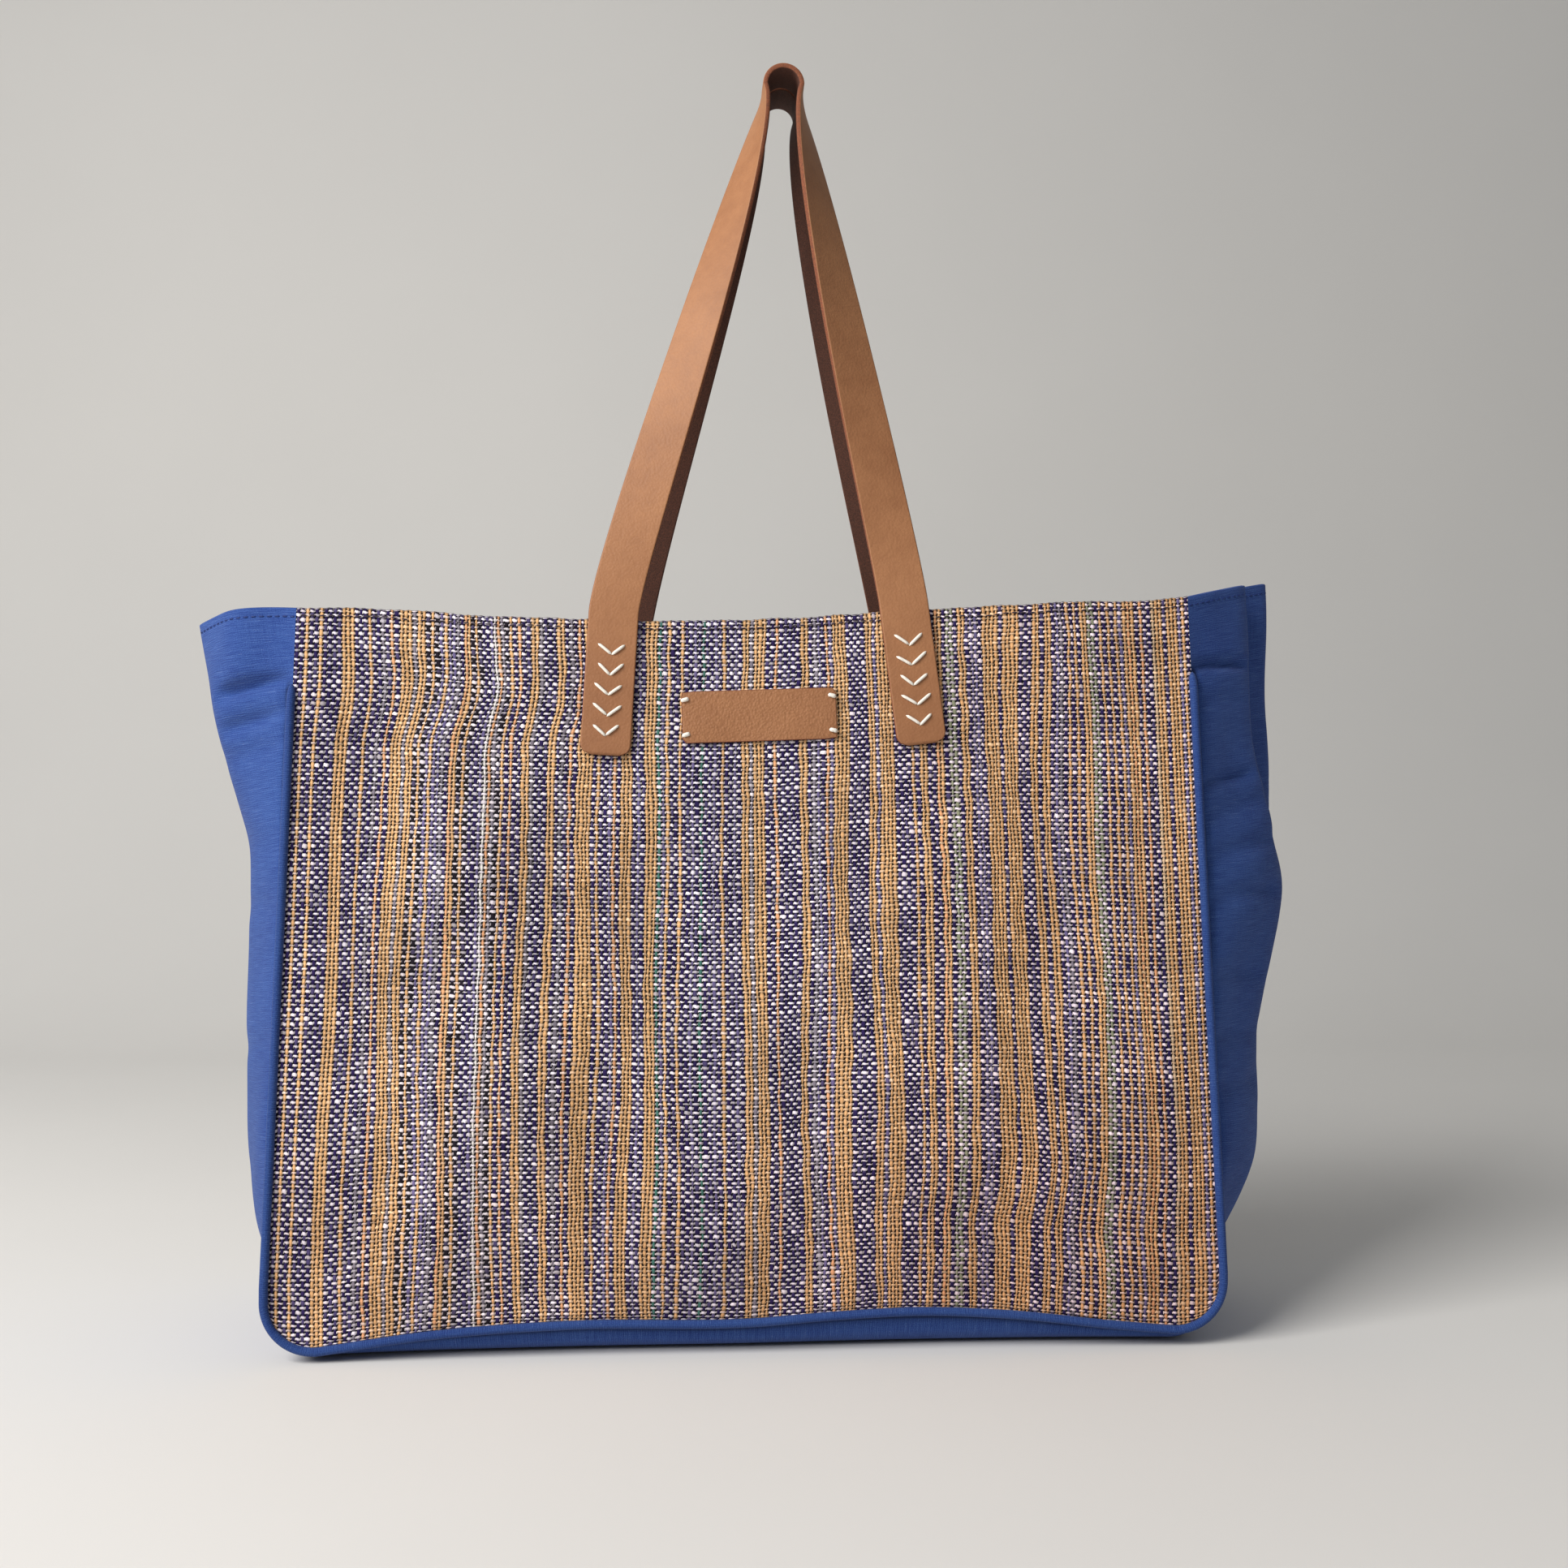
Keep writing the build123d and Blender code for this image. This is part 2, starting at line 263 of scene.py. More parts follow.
class BagShape:
    """Soft body of the bag, worked out from its sizes: leaning panels, side folds, mouth edge and seam."""

    def __init__(self, sizes):
        self.sizes = sizes
        self.half_base = sizes.base_width / 2
        self.half_rim = self.half_base - sizes.rim_narrowing / 2
        self.span = self.half_rim + sizes.side_flare
        self.lean_height = sizes.body_height - sizes.lean_start
        self.corner_start = self.half_base - sizes.corner_radius
        lean = math.atan2((sizes.base_depth - sizes.rim_depth) / 2, self.lean_height)
        self.outward = np.array([0, -math.cos(lean), math.sin(lean)])
        self.upward = np.array([0, math.sin(lean), math.cos(lean)])

    def climb(self, z):
        return np.maximum((z - self.sizes.lean_start) / self.lean_height, 0)

    def half_width(self, z):
        return self.half_base + (self.half_rim - self.half_base) * self.climb(z)

    def half_depth(self, z):
        return (self.sizes.base_depth + (self.sizes.rim_depth - self.sizes.base_depth) * self.climb(z)) / 2

    def flare(self, side, z):
        return self.sizes.side_flare * curve(self.climb(z), FLARE_SHARES[side])

    def rim(self, x):
        low = self.sizes.body_height - self.sizes.rim_drop
        return low + self.sizes.rim_lift * curve(x / self.span, RIM_SHARES)

    def seam(self, x):
        inner = np.clip(x, -self.corner_start, self.corner_start)
        return self.sizes.seam_low + self.sizes.seam_arch * curve(inner / self.half_base, SEAM_SHARES)

    def foot(self, x):
        """Lower edge of a panel: the seam, turned up by a quarter circle at each corner."""
        radius = self.sizes.corner_radius
        past = np.clip(np.abs(x) - self.corner_start, 0, radius)
        return self.seam(x) + radius - np.sqrt(radius**2 - past**2)

    def belly(self, across, z):
        """How far the front cloth stands out: a low belly, upright folds and a low crease on the right."""
        rise = np.clip((z - 0.012) / 0.31, 0, 1) ** 0.66
        out = 0.0085 * (1 - across**4) * np.sin(np.pi * rise) ** 2
        for height, place, width, fade_in, fade_out in UPRIGHT_FOLDS:
            out += height * bell(across, place, width) * step(z, *fade_in) * (1 - step(z, *fade_out))
        crease = 0.060 + 0.008 * np.sin(5 * across)
        out -= 0.0022 * bell(z, crease, 0.007) * step(across, 0.0, 0.4) * (1 - step(across, 0.9, 1))
        ruffle = ripple(across * 4.5, z / 0.11, 3) * (1 - across**6)
        ruffle *= 1 - step(z, 0.24, 0.30) * bell(across, 0, 0.5)
        return out + 0.0013 * ruffle

    def drift(self, across, z):
        """How far the warp wanders sideways: waves, a jog below the piping ends and one low on the right."""
        free = 1 - across**6
        wander = 0.0015 * ripple(across * 3, z / 0.13, 11) + 0.0003 * ripple(across * 16, z / 0.03, 12)
        wander += 0.0004 * ripple(across * 46, z / 0.024, 13, 12)
        jog = 0.0046 * step(z, 0.293, 0.322) + 0.0022 * bell(z, 0.328, 0.018)
        wander += jog * bell(across, -0.75, 0.42)
        wander -= 0.0045 * (1 - step(z, 0.055, 0.095)) * step(across, 0.2, 0.6)
        return free * wander

    def panel(self, across, rise):
        """Front panel: x fans out with its width, z runs from seam to mouth, y follows the leaning wall.

        Near the lower seam z is a soft maximum of the thread's own height and the panel's foot.
        """
        sizes = self.sizes
        guide = across * self.half_base
        row = self.seam(guide) + (self.rim(across * self.half_rim) - self.seam(guide)) * rise
        row = row + 0.00042 * ripple(across * 9, rise * 66, 14, 12)
        above = row - self.foot(guide)
        z = self.foot(guide) + (above + np.sqrt(above**2 + (sizes.corner_radius / 6) ** 2)) / 2
        x = across * self.half_width(z) + self.drift(across, z)
        edge = (1 - step(np.abs(across), 0.985, 1)) * step(z - self.foot(guide), 0, 0.006)
        y = -self.half_depth(z) - self.belly(across, z) * edge
        return np.stack([x, y, z], axis=-1)

    def side_lines(self, side, rise):
        """Front seam and outermost line of one side, from the mouth down to where the corner starts."""
        corner = self.sizes.corner_radius
        seam_top, fold_top = self.rim(np.array([side * self.half_rim, side * self.span]))
        seam_z = seam_top + (self.seam(np.array(side * self.half_base)) + corner - seam_top) * rise
        fold_z = fold_top + (corner - fold_top) * rise
        seam_x = side * self.half_width(seam_z)
        fold_x = side * (self.half_width(fold_z) + self.flare(side, fold_z))
        return np.stack([seam_x, seam_z], -1), np.stack([fold_x, fold_z], -1)

    def girdle(self, side_rows=170, corner_rows=18, base_rows=120):
        """Front seam and outermost line all round: left side, base, right side, and each row's wrap."""
        corner = self.sizes.corner_radius
        turn = np.linspace(0, np.pi / 2, corner_rows)[1:]
        halves = []
        for side in (-1, 1):
            seam, fold = self.side_lines(side, np.linspace(0, 1, side_rows))
            bend_x = side * (self.corner_start + corner * np.cos(turn))
            bend = np.stack([bend_x, corner - corner * np.sin(turn)], -1)
            lift = np.array([0, float(self.seam(np.array(side * self.half_base)))])
            wrap = np.concatenate([np.zeros(side_rows), step(turn, 0, np.pi / 2)])
            halves.append((np.concatenate([seam, bend + lift]), np.concatenate([fold, bend]), wrap))
        x = np.linspace(-self.corner_start, self.corner_start, base_rows)[1:-1]
        base_seam, base_fold = np.stack([x, self.seam(x)], -1), np.stack([x, 0 * x], -1)
        (left_seam, left_fold, left_wrap), (right_seam, right_fold, right_wrap) = halves
        seam = np.concatenate([left_seam, base_seam, right_seam[::-1]])
        fold = np.concatenate([left_fold, base_fold, right_fold[::-1]])
        return seam, fold, np.concatenate([left_wrap, np.ones(len(x)), right_wrap[::-1]])

    def gusset(self, seam, fold, wrap, turn):
        """Gusset: each row runs from the front seam over the outermost line to the back seam.

        The place between the two lines is the turn's distance from the middle raised to a power,
        low where the side arches and high where the base lies flat with rolled edges. The mouth bows upwards.
        """
        side = 1 - self.fold_share(fold[:, :1], fold[:, 1:], turn[None, :])
        flat = np.abs(turn)[None, :] ** (ARCH_POWER + 8 * wrap[:, None])
        share = np.where(wrap[:, None] > 0, flat, side)
        section = fold[:, None, :] + (seam - fold)[:, None, :] * share[..., None]
        y = self.half_depth(seam[:, 1])[:, None] * turn[None, :]
        mouth_bow, right_share = 0.0024, 0.15
        bowed = mouth_bow * 4 * share * (1 - share) * step(fold[:, 1], 0.32, 0.36)[:, None]
        bowed = np.where(fold[:, :1] < 0, bowed, right_share * bowed)
        return np.stack([section[..., 0], y, section[..., 1] + bowed], axis=-1)

    def fold_share(self, x, z, turn):
        """How far out the side arch stands, 0 at the seams to 1 at its fullest: a power curve of the turn.

        High on the right side it becomes a ridge near the front with a fuller rear.
        """
        arch = 1 - np.abs(turn) ** ARCH_POWER
        blend = step(z, 0.22, 0.31) * (x > 0)
        return arch + (curve(turn, RIDGE_SHARES) - arch) * blend

    def tab(self, side):
        """Frame of a sewn strap end at the mouth: its place, and its directions across, up and away."""
        sizes = self.sizes
        x = sizes.centre_offset + side * sizes.tab_spacing / 2 - sizes.tab_shift
        z = float(self.rim(np.array(x)))
        turn = side * sizes.tab_tilt + sizes.tab_turn
        across = np.array([math.cos(turn), 0, 0]) + self.upward * math.sin(turn)
        place = np.array([x, -float(self.half_depth(np.array(z))), z])
        return place, across, np.cross(self.outward, across), self.outward

    def loop_centre(self):
        sizes = self.sizes
        top = sizes.body_height + sizes.handle_rise
        depth = (sizes.strap_width + sizes.strap_gap) / 2
        return np.array([sizes.loop_sway, -depth, top - sizes.loop_radius - sizes.strap_thickness])


def bezier(start, first, second, end, share):
    """Points of a cubic curve between start and end, pulled towards two control points, and its headings."""
    share = share[:, None]
    rest = 1 - share
    places = rest**3 * start + 3 * rest**2 * share * first + 3 * rest * share**2 * second + share**3 * end
    heading = rest**2 * (first - start) + 2 * rest * share * (second - first) + share**2 * (end - second)
    return places, unit(heading)


def half_strap(shape, side):
    """Middle line of half a handle, from its sewn end to the top bend, with headings and cross directions.

    The strap lies flat on its panel, then turns a quarter so that its inner edge comes to the front.
    """
    sizes = shape.sizes
    place, across, up, away = shape.tab(side)
    lift = away * (sizes.strap_lift + sizes.strap_thickness / 2)
    flat = np.linspace(-sizes.tab_length, sizes.tab_rise, 44)
    tab_places = place + lift + up * flat[:, None]
    start = tab_places[-1]
    end = shape.loop_centre() + np.array([side * (sizes.loop_radius + sizes.strap_thickness / 2), 0, 0])
    reach = np.linalg.norm(end - start)
    share = np.linspace(0, 1, 91)[1:]
    low_pull, high_pull = LEG_PULL_SHARES
    first, second = start + up * reach * low_pull, end - np.array([0, 0, reach * high_pull])
    leg_places, leg_headings = bezier(start, first, second, end, share)
    turn = np.pi / 2 * share[:, None] ** TWIST_POWER
    leg_across = across * np.cos(turn) + np.array([0, side, 0]) * np.sin(turn)
    leg_across = unit(leg_across - leg_headings * (leg_across * leg_headings).sum(-1, keepdims=True))
    places = np.concatenate([tab_places, leg_places])
    headings = np.concatenate([np.tile(up, (len(flat), 1)), leg_headings])
    return places, headings, np.concatenate([np.tile(across, (len(flat), 1)), leg_across])


def handle_surface(shape):
    """One leather handle: a thin rounded bar section carried along tab, leg, top bend, leg and tab.

    Returns the points, the cloth coordinates across and along, and each ring point's side:
    1 on the grain side, -1 on the flesh side, between them on the cut edges.
    """
    sizes = shape.sizes
    left, right = half_strap(shape, -1), half_strap(shape, 1)
    centre, middle = shape.loop_centre(), sizes.loop_radius + sizes.strap_thickness / 2
    bend = np.linspace(np.pi, 0, 26)[1:-1]
    zero = np.zeros_like(bend)
    bend_places = centre + middle * np.stack([np.cos(bend), zero, np.sin(bend)], -1)
    bend_headings = np.stack([np.sin(bend), zero, -np.cos(bend)], -1)
    places = np.concatenate([left[0], bend_places, right[0][::-1]])
    headings = np.concatenate([left[1], bend_headings, -right[1][::-1]])
    across = np.concatenate([left[2], np.tile([0.0, -1, 0], (len(bend), 1)), -right[2][::-1]])
    outward = np.cross(across, headings)
    run = np.concatenate([[0], np.cumsum(np.linalg.norm(np.diff(places, axis=0), axis=1))])
    near_end = np.clip(np.minimum(run, run[-1] - run), 0, sizes.tab_corner)
    round_in = sizes.tab_corner - np.sqrt(sizes.tab_corner**2 - (sizes.tab_corner - near_end) ** 2)
    half = sizes.strap_width / 2 - round_in
    face = np.array([-0.975, -0.93, -0.7, -0.4, -0.1, 0.2, 0.5, 0.75, 0.93, 0.975])
    ring_across = np.concatenate([face, [1, 1], face[::-1], [-1, -1]])
    ring_out = np.concatenate([np.ones(10), [0.62, -0.62], -np.ones(10), [-0.62, 0.62]])
    thick = np.full(len(run), sizes.strap_thickness / 2)
    places, across, outward = [np.concatenate([a[:1], a, a[-1:]]) for a in (places, across, outward)]
    half, run = np.concatenate([half[:1], half, half[-1:]]), np.concatenate([run[:1], run, run[-1:]])
    thick = np.concatenate([[0], thick, [0]])
    crown = ring_out * (1 - 0.10 * ring_across**2)
    points = places[:, None] + across[:, None] * (half[:, None] * ring_across)[..., None]
    points = points + outward[:, None] * (thick[:, None] * crown)[..., None]
    uv_ring = np.append(ring_across, ring_across[0]) * sizes.strap_width / 2
    uv = np.stack(np.broadcast_arrays(uv_ring[None, :], run[:, None]), -1)
    return points, uv, np.tile(ring_out, (len(run), 1))


def stitch_surfaces(starts, ends, away, radius, rows=9, around=8):
    """Short stitches: round threads between two points, whose ends thin out and dip in."""
    share = np.linspace(0, 1, rows)
    edge = np.abs(2 * share - 1)
    thin = np.sqrt(np.clip(1 - edge**5, 0.0004, 1))
    heading = unit(ends - starts)
    side = np.cross(heading, away)
    middle = starts[:, None] + (ends - starts)[:, None] * share[:, None]
    middle = middle + away[:, None] * (radius * (0.75 - 0.9 * edge**4))[:, None]
    turn = np.linspace(0, 2 * np.pi, around, endpoint=False)
    ring = side[:, None, None] * np.cos(turn)[:, None] + away[:, None, None] * (0.85 * np.sin(turn))[:, None]
    return middle[:, :, None] + ring * (radius * thin)[:, None, None]


def tube_surface(places, radii, aside, around=14):
    """Round tube: circles of the given radii along the places, with aside as the first cross direction."""
    headings = unit(np.gradient(places, axis=0))
    second = unit(np.cross(headings, aside))
    first = np.cross(second, headings)
    turn = np.linspace(0, 2 * np.pi, around, endpoint=False)
    ring = first[:, None] * np.cos(turn)[:, None] + second[:, None] * np.sin(turn)[:, None]
    return places[:, None] + ring * radii[:, None, None]


def mirrored(points):
    """The same surface on the back of the bag, its columns turned round so that it still faces outwards."""
    return points[..., ::-1, :] * np.array([1, -1, 1])


def behind(points, shape):
    """A handle or its stitches on the back, sewn a little further right, with the same top bend."""
    sizes = shape.sizes
    share = np.clip((sizes.body_height + sizes.handle_rise - points[..., 2]) / sizes.handle_rise, 0, 1)
    shift = np.stack([sizes.back_shift * share**2, 0 * share, 0 * share], -1)
    return mirrored(points + shift)


def lay_mesh(name, points, uv=None, closed=False, uv_name="cloth"):
    """New object from grids of points (grids, rows, columns, 3): one quad between neighbouring points.

    A closed grid joins its last column to its first, and its uv has one more column for that.
    """
    points = points.reshape((-1,) + points.shape[-3:])
    grids, rows, columns = points.shape[:3]
    index = np.arange(points.size // 3).reshape(grids, rows, columns)
    if closed:
        index = np.concatenate([index, index[..., :1]], axis=-1)

    def corners(table):
        return np.stack([table[:, :-1, :-1], table[:, :-1, 1:], table[:, 1:, 1:], table[:, 1:, :-1]], axis=3)

    quads = corners(index).reshape(-1, 4)
    mesh = bpy.data.meshes.new(name)
    mesh.vertices.add(points.size // 3)
    mesh.vertices.foreach_set("co", points.astype(np.float32).ravel())
    mesh.loops.add(quads.size)
    mesh.loops.foreach_set("vertex_index", quads.astype(np.int32).ravel())
    mesh.polygons.add(len(quads))
    mesh.polygons.foreach_set("loop_start", np.arange(0, quads.size, 4, dtype=np.int32))
    mesh.polygons.foreach_set("use_smooth", np.ones(len(quads), bool))
    mesh.update(calc_edges=True)
    if uv is not None:
        uv = uv.reshape((-1,) + uv.shape[-3:])
        layer = mesh.uv_layers.new(name=uv_name)
        layer.data.foreach_set("uv", corners(uv).astype(np.float32).ravel())
    piece = bpy.data.objects.new(name, mesh)
    bpy.context.scene.collection.objects.link(piece)
    return piece


def dress(piece, material, slot, *nodes):
    """Gives a piece its material, ties it to the bag's body and hides the nodes it stands for; the slot is
    not used.
    """
    piece.data.materials.append(material)
    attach(piece, "root")
    if nodes:
        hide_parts(*nodes)


def arc_lengths(points, axis):
    """Distance along a grid's rows or columns from the first point, for cloth coordinates."""
    steps = np.linalg.norm(np.diff(points, axis=axis), axis=-1)
    first = np.zeros_like(np.take(steps, [0], axis=axis))
    return np.concatenate([first, np.cumsum(steps, axis=axis)], axis=axis)


def cloth_uv(points, column=0):
    """Cloth coordinates in metres: the distance along each row, and the distance along one column."""
    along = np.broadcast_to(arc_lengths(points, 0)[:, column:column + 1], points.shape[:2])
    return np.stack([arc_lengths(points, 1), along], -1)


def ring_uv(points):
    """Cloth coordinates of a grid whose last column joins its first."""
    return cloth_uv(np.concatenate([points, points[:, :1]], axis=1))


class Value:
    """One output in a material's node tree. Arithmetic on values adds Math nodes."""

    def __init__(self, tree, socket=None):
        self.tree = tree
        self.socket = socket

    def node(self, kind, settings=None, inputs=None, output=0):
        """Adds any other node: its type, its settings, and the values or links of its sockets."""
        made = self.tree.nodes.new(kind)
        for name, value in (settings or {}).items():
            setattr(made, name, value)
        for name, value in (inputs or {}).items():
            if isinstance(value, Value):
                self.tree.links.new(value.socket, made.inputs[name])
            else:
                made.inputs[name].default_value = value
        return Value(self.tree, made.outputs[output])

    def math(self, operation, *values):
        return self.node("ShaderNodeMath", {"operation": operation}, dict(enumerate(values)))

    def __add__(self, other):
        return self.math("ADD", self, other)

    def __sub__(self, other):
        return self.math("SUBTRACT", self, other)

    def __rsub__(self, other):
        return self.math("SUBTRACT", other, self)

    def __mul__(self, other):
        return self.math("MULTIPLY", self, other)

    def __truediv__(self, other):
        return self.math("DIVIDE", self, other)

    def __pow__(self, other):
        return self.math("POWER", self, other)

    def __abs__(self):
        return self.math("ABSOLUTE", self)

    def step(self, low, high):
        """Smooth step from 0 at low to 1 at high."""
        settings = {"interpolation_type": "SMOOTHSTEP"}
        return self.node("ShaderNodeMapRange", settings, {"Value": self, "From Min": low, "From Max": high})

    def mix(self, first, second):
        """Colour between first and second, with this value as the factor."""
        return self.node("ShaderNodeMix", {"data_type": "RGBA"}, {0: self, 6: first, 7: second}, 2)

    def shade(self, colour):
        """A colour times this value."""
        vector = self.node("ShaderNodeCombineXYZ", None, {0: self, 1: self, 2: self})
        return self.node("ShaderNodeVectorMath", {"operation": "MULTIPLY"}, {0: colour, 1: vector})

    def split(self):
        parts = self.tree.nodes.new("ShaderNodeSeparateXYZ")
        self.tree.links.new(self.socket, parts.inputs[0])
        return [Value(self.tree, part) for part in parts.outputs]

    def noise(self, scale, detail=2.0, roughness=0.5):
        inputs = {"Vector": self, "Scale": scale, "Detail": detail, "Roughness": roughness}
        return self.node("ShaderNodeTexNoise", None, inputs)

    def stretch(self, *scales):
        """These coordinates with each axis scaled by its own factor."""
        return self.node("ShaderNodeMapping", None, {"Vector": self, "Scale": scales})


def new_material(name):
    """Empty material with its node tree, and a value to start expressions from."""
    material = bpy.data.materials.new(name)
    material.use_nodes = True
    material.node_tree.nodes.clear()
    return material, Value(material.node_tree)


def finish_material(start, colour, roughness, height, relief, sheen=0.0, specular=0.5):
    """Joins colour, roughness and a bump of the given relief in metres to the surface."""
    bump = start.node("ShaderNodeBump", None, {"Height": height, "Distance": relief, "Strength": 1.0})
    surface = start.node("ShaderNodeBsdfPrincipled", None, {
        "Base Color": colour, "Roughness": roughness, "Normal": bump,
        "Sheen Weight": sheen, "Sheen Roughness": 0.5, "Specular IOR Level": specular,
    })
    output = start.tree.nodes.new("ShaderNodeOutputMaterial")
    start.tree.links.new(surface.socket, output.inputs["Surface"])


def flat_colour(colour):
    return (*colour, 1.0)


def darker(colour, share):
    return tuple(share * level for level in colour)


def woven_material():
    """Plain weave: in each crossing the warp or the weft lies on top, in turn.

    A thread's height falls off as a circle across it and as a cosine along it. The higher thread shows,
    with painted shade at its rounded sides and where it dives, and where neither reaches the gap is painted
    dark as shade.
    """
    material, start = new_material("woven_cloth")
    threads = start.node("ShaderNodeUVMap", {"uv_map": "threads"})
    fuzz = threads.noise(2.3, 3)
    slant = threads.noise(0.9, 1)
    u, v, _ = threads.split()
    fibre = threads.stretch(9, 1.3, 1).noise(1.0, 2)
    weft_fibre = threads.stretch(1.3, 9, 1).noise(1.0, 2)
    end, pick = u.math("FLOOR", u), v.math("FLOOR", v)
    place_u = u - end - 0.5 + (fuzz - 0.5) * 0.3
    place_v = v - pick - 0.5 + (fuzz - 0.5) * 0.24 + place_u * (slant - 0.34) * 0.9
    turn = (end + pick).math("MODULO", end + pick, 2.0) * -2 + 1
    warp = start.node("ShaderNodeAttribute", {"attribute_name": "warp"})
    warp_half = start.node("ShaderNodeAttribute", {"attribute_name": "warp"}, None, 3)
    weft = start.node("ShaderNodeAttribute", {"attribute_name": "weft"})
    weft_half = start.node("ShaderNodeAttribute", {"attribute_name": "weft"}, None, 3)
    warp_wave = place_v.math("COSINE", place_v * math.pi) * turn * 0.5 + 0.5
    weft_wave = place_u.math("COSINE", place_u * math.pi) * turn * -0.5 + 0.5
    warp_across = abs(place_u) / (warp_half * (warp_wave * 0.3 + 0.7))
    weft_across = abs(place_v) / (weft_half * (weft_wave * 0.4 + 0.6))
    warp_round = (1 - (warp_across * warp_across).math("MINIMUM", warp_across * warp_across, 1.0)) ** 0.5
    weft_round = (1 - (weft_across * weft_across).math("MINIMUM", weft_across * weft_across, 1.0)) ** 0.5
    warp_high = (warp_wave * 0.6 + warp_round * 0.4) * (1 - warp_across.step(0.9, 1.06))
    weft_high = (weft_wave * 0.6 + weft_round * 0.4) * (1 - weft_across.step(0.9, 1.06))
    on_top = (weft_high - warp_high).step(-0.12, -0.04)
    # Painted shade: each thread darker at its rounded sides and where it dives under the other, times the
    # fibre's own uneven tone
    warp_shade = (warp_wave * 0.38 + warp_round * 0.44 + 0.22) * (fibre * 0.7 + 0.66)
    weft_shade = (weft_wave * 0.42 + weft_round * 0.42 + 0.26) * (weft_fibre * 0.5 + 0.76)
    thread = on_top.mix(warp_shade.shade(warp), weft_shade.shade(weft))
    height = warp_high.math("MAXIMUM", warp_high, weft_high)
    # Painted shade in the gaps where neither thread reaches
    hole_shade = (fuzz * 0.04).shade(warp)
    colour = height.step(0.08, 0.42).mix(hole_shade, thread)
    finish_material(start, colour, 0.88, height, 0.0011, sheen=0.02, specular=0.12)
    return material


def cotton_material(name, light, dark, pitch=0.00052):
    """Fine plain-weave cotton: slubs drawn out along both thread directions over a fine grain.

    The seam value of a point, 1 in the groove beside a corded seam, darkens the cloth there as painted shade.
    """
    material, start = new_material(name)
    cloth = start.node("ShaderNodeUVMap", {"uv_map": "cloth"})
    across = cloth.stretch(70, 0.8 / pitch, 1).noise(1.0, 3, 0.6)
    along = cloth.stretch(0.8 / pitch, 60, 1).noise(1.0, 3, 0.6)
    fine = cloth.stretch(1 / pitch, 1 / pitch, 1).noise(1.0, 2, 0.6)
    clouds = cloth.stretch(18, 14, 1).noise(1.0, 3)
    u, v, _ = cloth.split()
    sway = cloth.noise(230.0, 2) * 12
    ribs = v.math("SINE", v * (2 * math.pi / 0.0010) + sway) * 0.5 + 0.5
    cords = u.math("SINE", u * (2 * math.pi / 0.0009) + sway) * 0.5 + 0.5
    ribs = ribs * (fine * 0.9 + 0.1) + cords * fine * 0.5
    mark = across * 0.6 + along * 0.25 + fine * 0.45 + clouds * 0.3 + ribs * 0.26 - 0.42
    tint = mark.step(0.2, 0.8)
    flecks = (across * fine).step(0.34, 0.48)
    pale = tuple(0.55 * level + 0.25 for level in light[:3])
    colour = (flecks * 0.40).mix(tint.mix(dark, light), flat_colour(pale))
    # Painted shade in the groove beside the piping, from the seam value
    seam = start.node("ShaderNodeAttribute", {"attribute_name": "seam"}, None, 2)
    colour = (1 - seam * 0.72).shade(colour)
    height = across * 0.5 + ribs * 0.3 + fine * 0.5
    finish_material(start, colour, 0.85, height, 0.0003, sheen=0.08, specular=0.15)
    return material


def leather_material(name, colours, pebble=1.0):
    """Oiled leather: cloudy grain side with fine pebbles, brown suede flesh side and rubbed cut edges."""
    material, start = new_material(name)
    place = start.node("ShaderNodeTexCoord", None, None, 3)
    side = start.node("ShaderNodeAttribute", {"attribute_name": "side"}, None, 2)
    clouds = place.noise(16.0, 3, 0.55)
    mottle = place.noise(150.0, 3, 0.6)
    cells = start.node("ShaderNodeTexVoronoi", {"feature": "SMOOTH_F1"}, {"Vector": place, "Scale": 900.0})
    nap = place.noise(1700.0, 2, 0.7)
    # Painted shade: the leather a little darker towards the bottom, from 0.44 m down to 0.33 m, on the sewn
    # ends and the label
    painted_low_shade = place.split()[2].step(0.44, 0.33)
    tint = (clouds * 0.75 + mottle * 0.3).step(0.14, 0.92)
    grain = tint.mix(flat_colour(colours.leather_dark), flat_colour(colours.leather))
    grain = (painted_low_shade * 0.3).mix(grain, flat_colour(colours.leather_dark))
    grain = (cells.step(0.25, 0.75) * 0.16 * pebble).mix(grain, flat_colour(colours.leather_dark))
    flesh = nap.step(0.3, 0.75).mix((0.055, 0.022, 0.014, 1), flat_colour(colours.suede))
    edge = nap.step(0.3, 0.7).mix(flat_colour(colours.suede), flat_colour(colours.cut_edge))
    on_grain, on_flesh = side.step(0.66, 0.98), 1 - side.step(-0.98, -0.66)
    colour = on_flesh.mix(on_grain.mix(edge, grain), flesh)
    roughness = 0.82 - on_grain * (0.28 - mottle * 0.1)
    height = on_grain * (cells * -0.6 * pebble + mottle * 0.3) + (1 - on_grain) * nap
    finish_material(start, colour, roughness, height, 0.00022, specular=0.4)
    return material


def thread_material(name, colour, shade):
    """Twisted thread: slanting ply lines on a matt yarn, painted darker in the grooves between the plies as
    shade.
    """
    material, start = new_material(name)
    place = start.node("ShaderNodeTexCoord", None, None, 3)
    ply = start.node("ShaderNodeTexWave", {"bands_direction": "DIAGONAL"}, {
        "Vector": place, "Scale": 420.0, "Distortion": 2.0, "Detail": 1.0,
    }, 1)
    wear = place.noise(900.0, 2)
    # Painted shade in the grooves between the plies, mixed with random darker patches from the wear noise
    tint = (ply * 0.25 + wear * 0.6).step(0.1, 0.5)
    colour = tint.mix(flat_colour(shade), flat_colour(colour))
    finish_material(start, colour, 0.6, ply, 0.00004, specular=0.4)
    return material


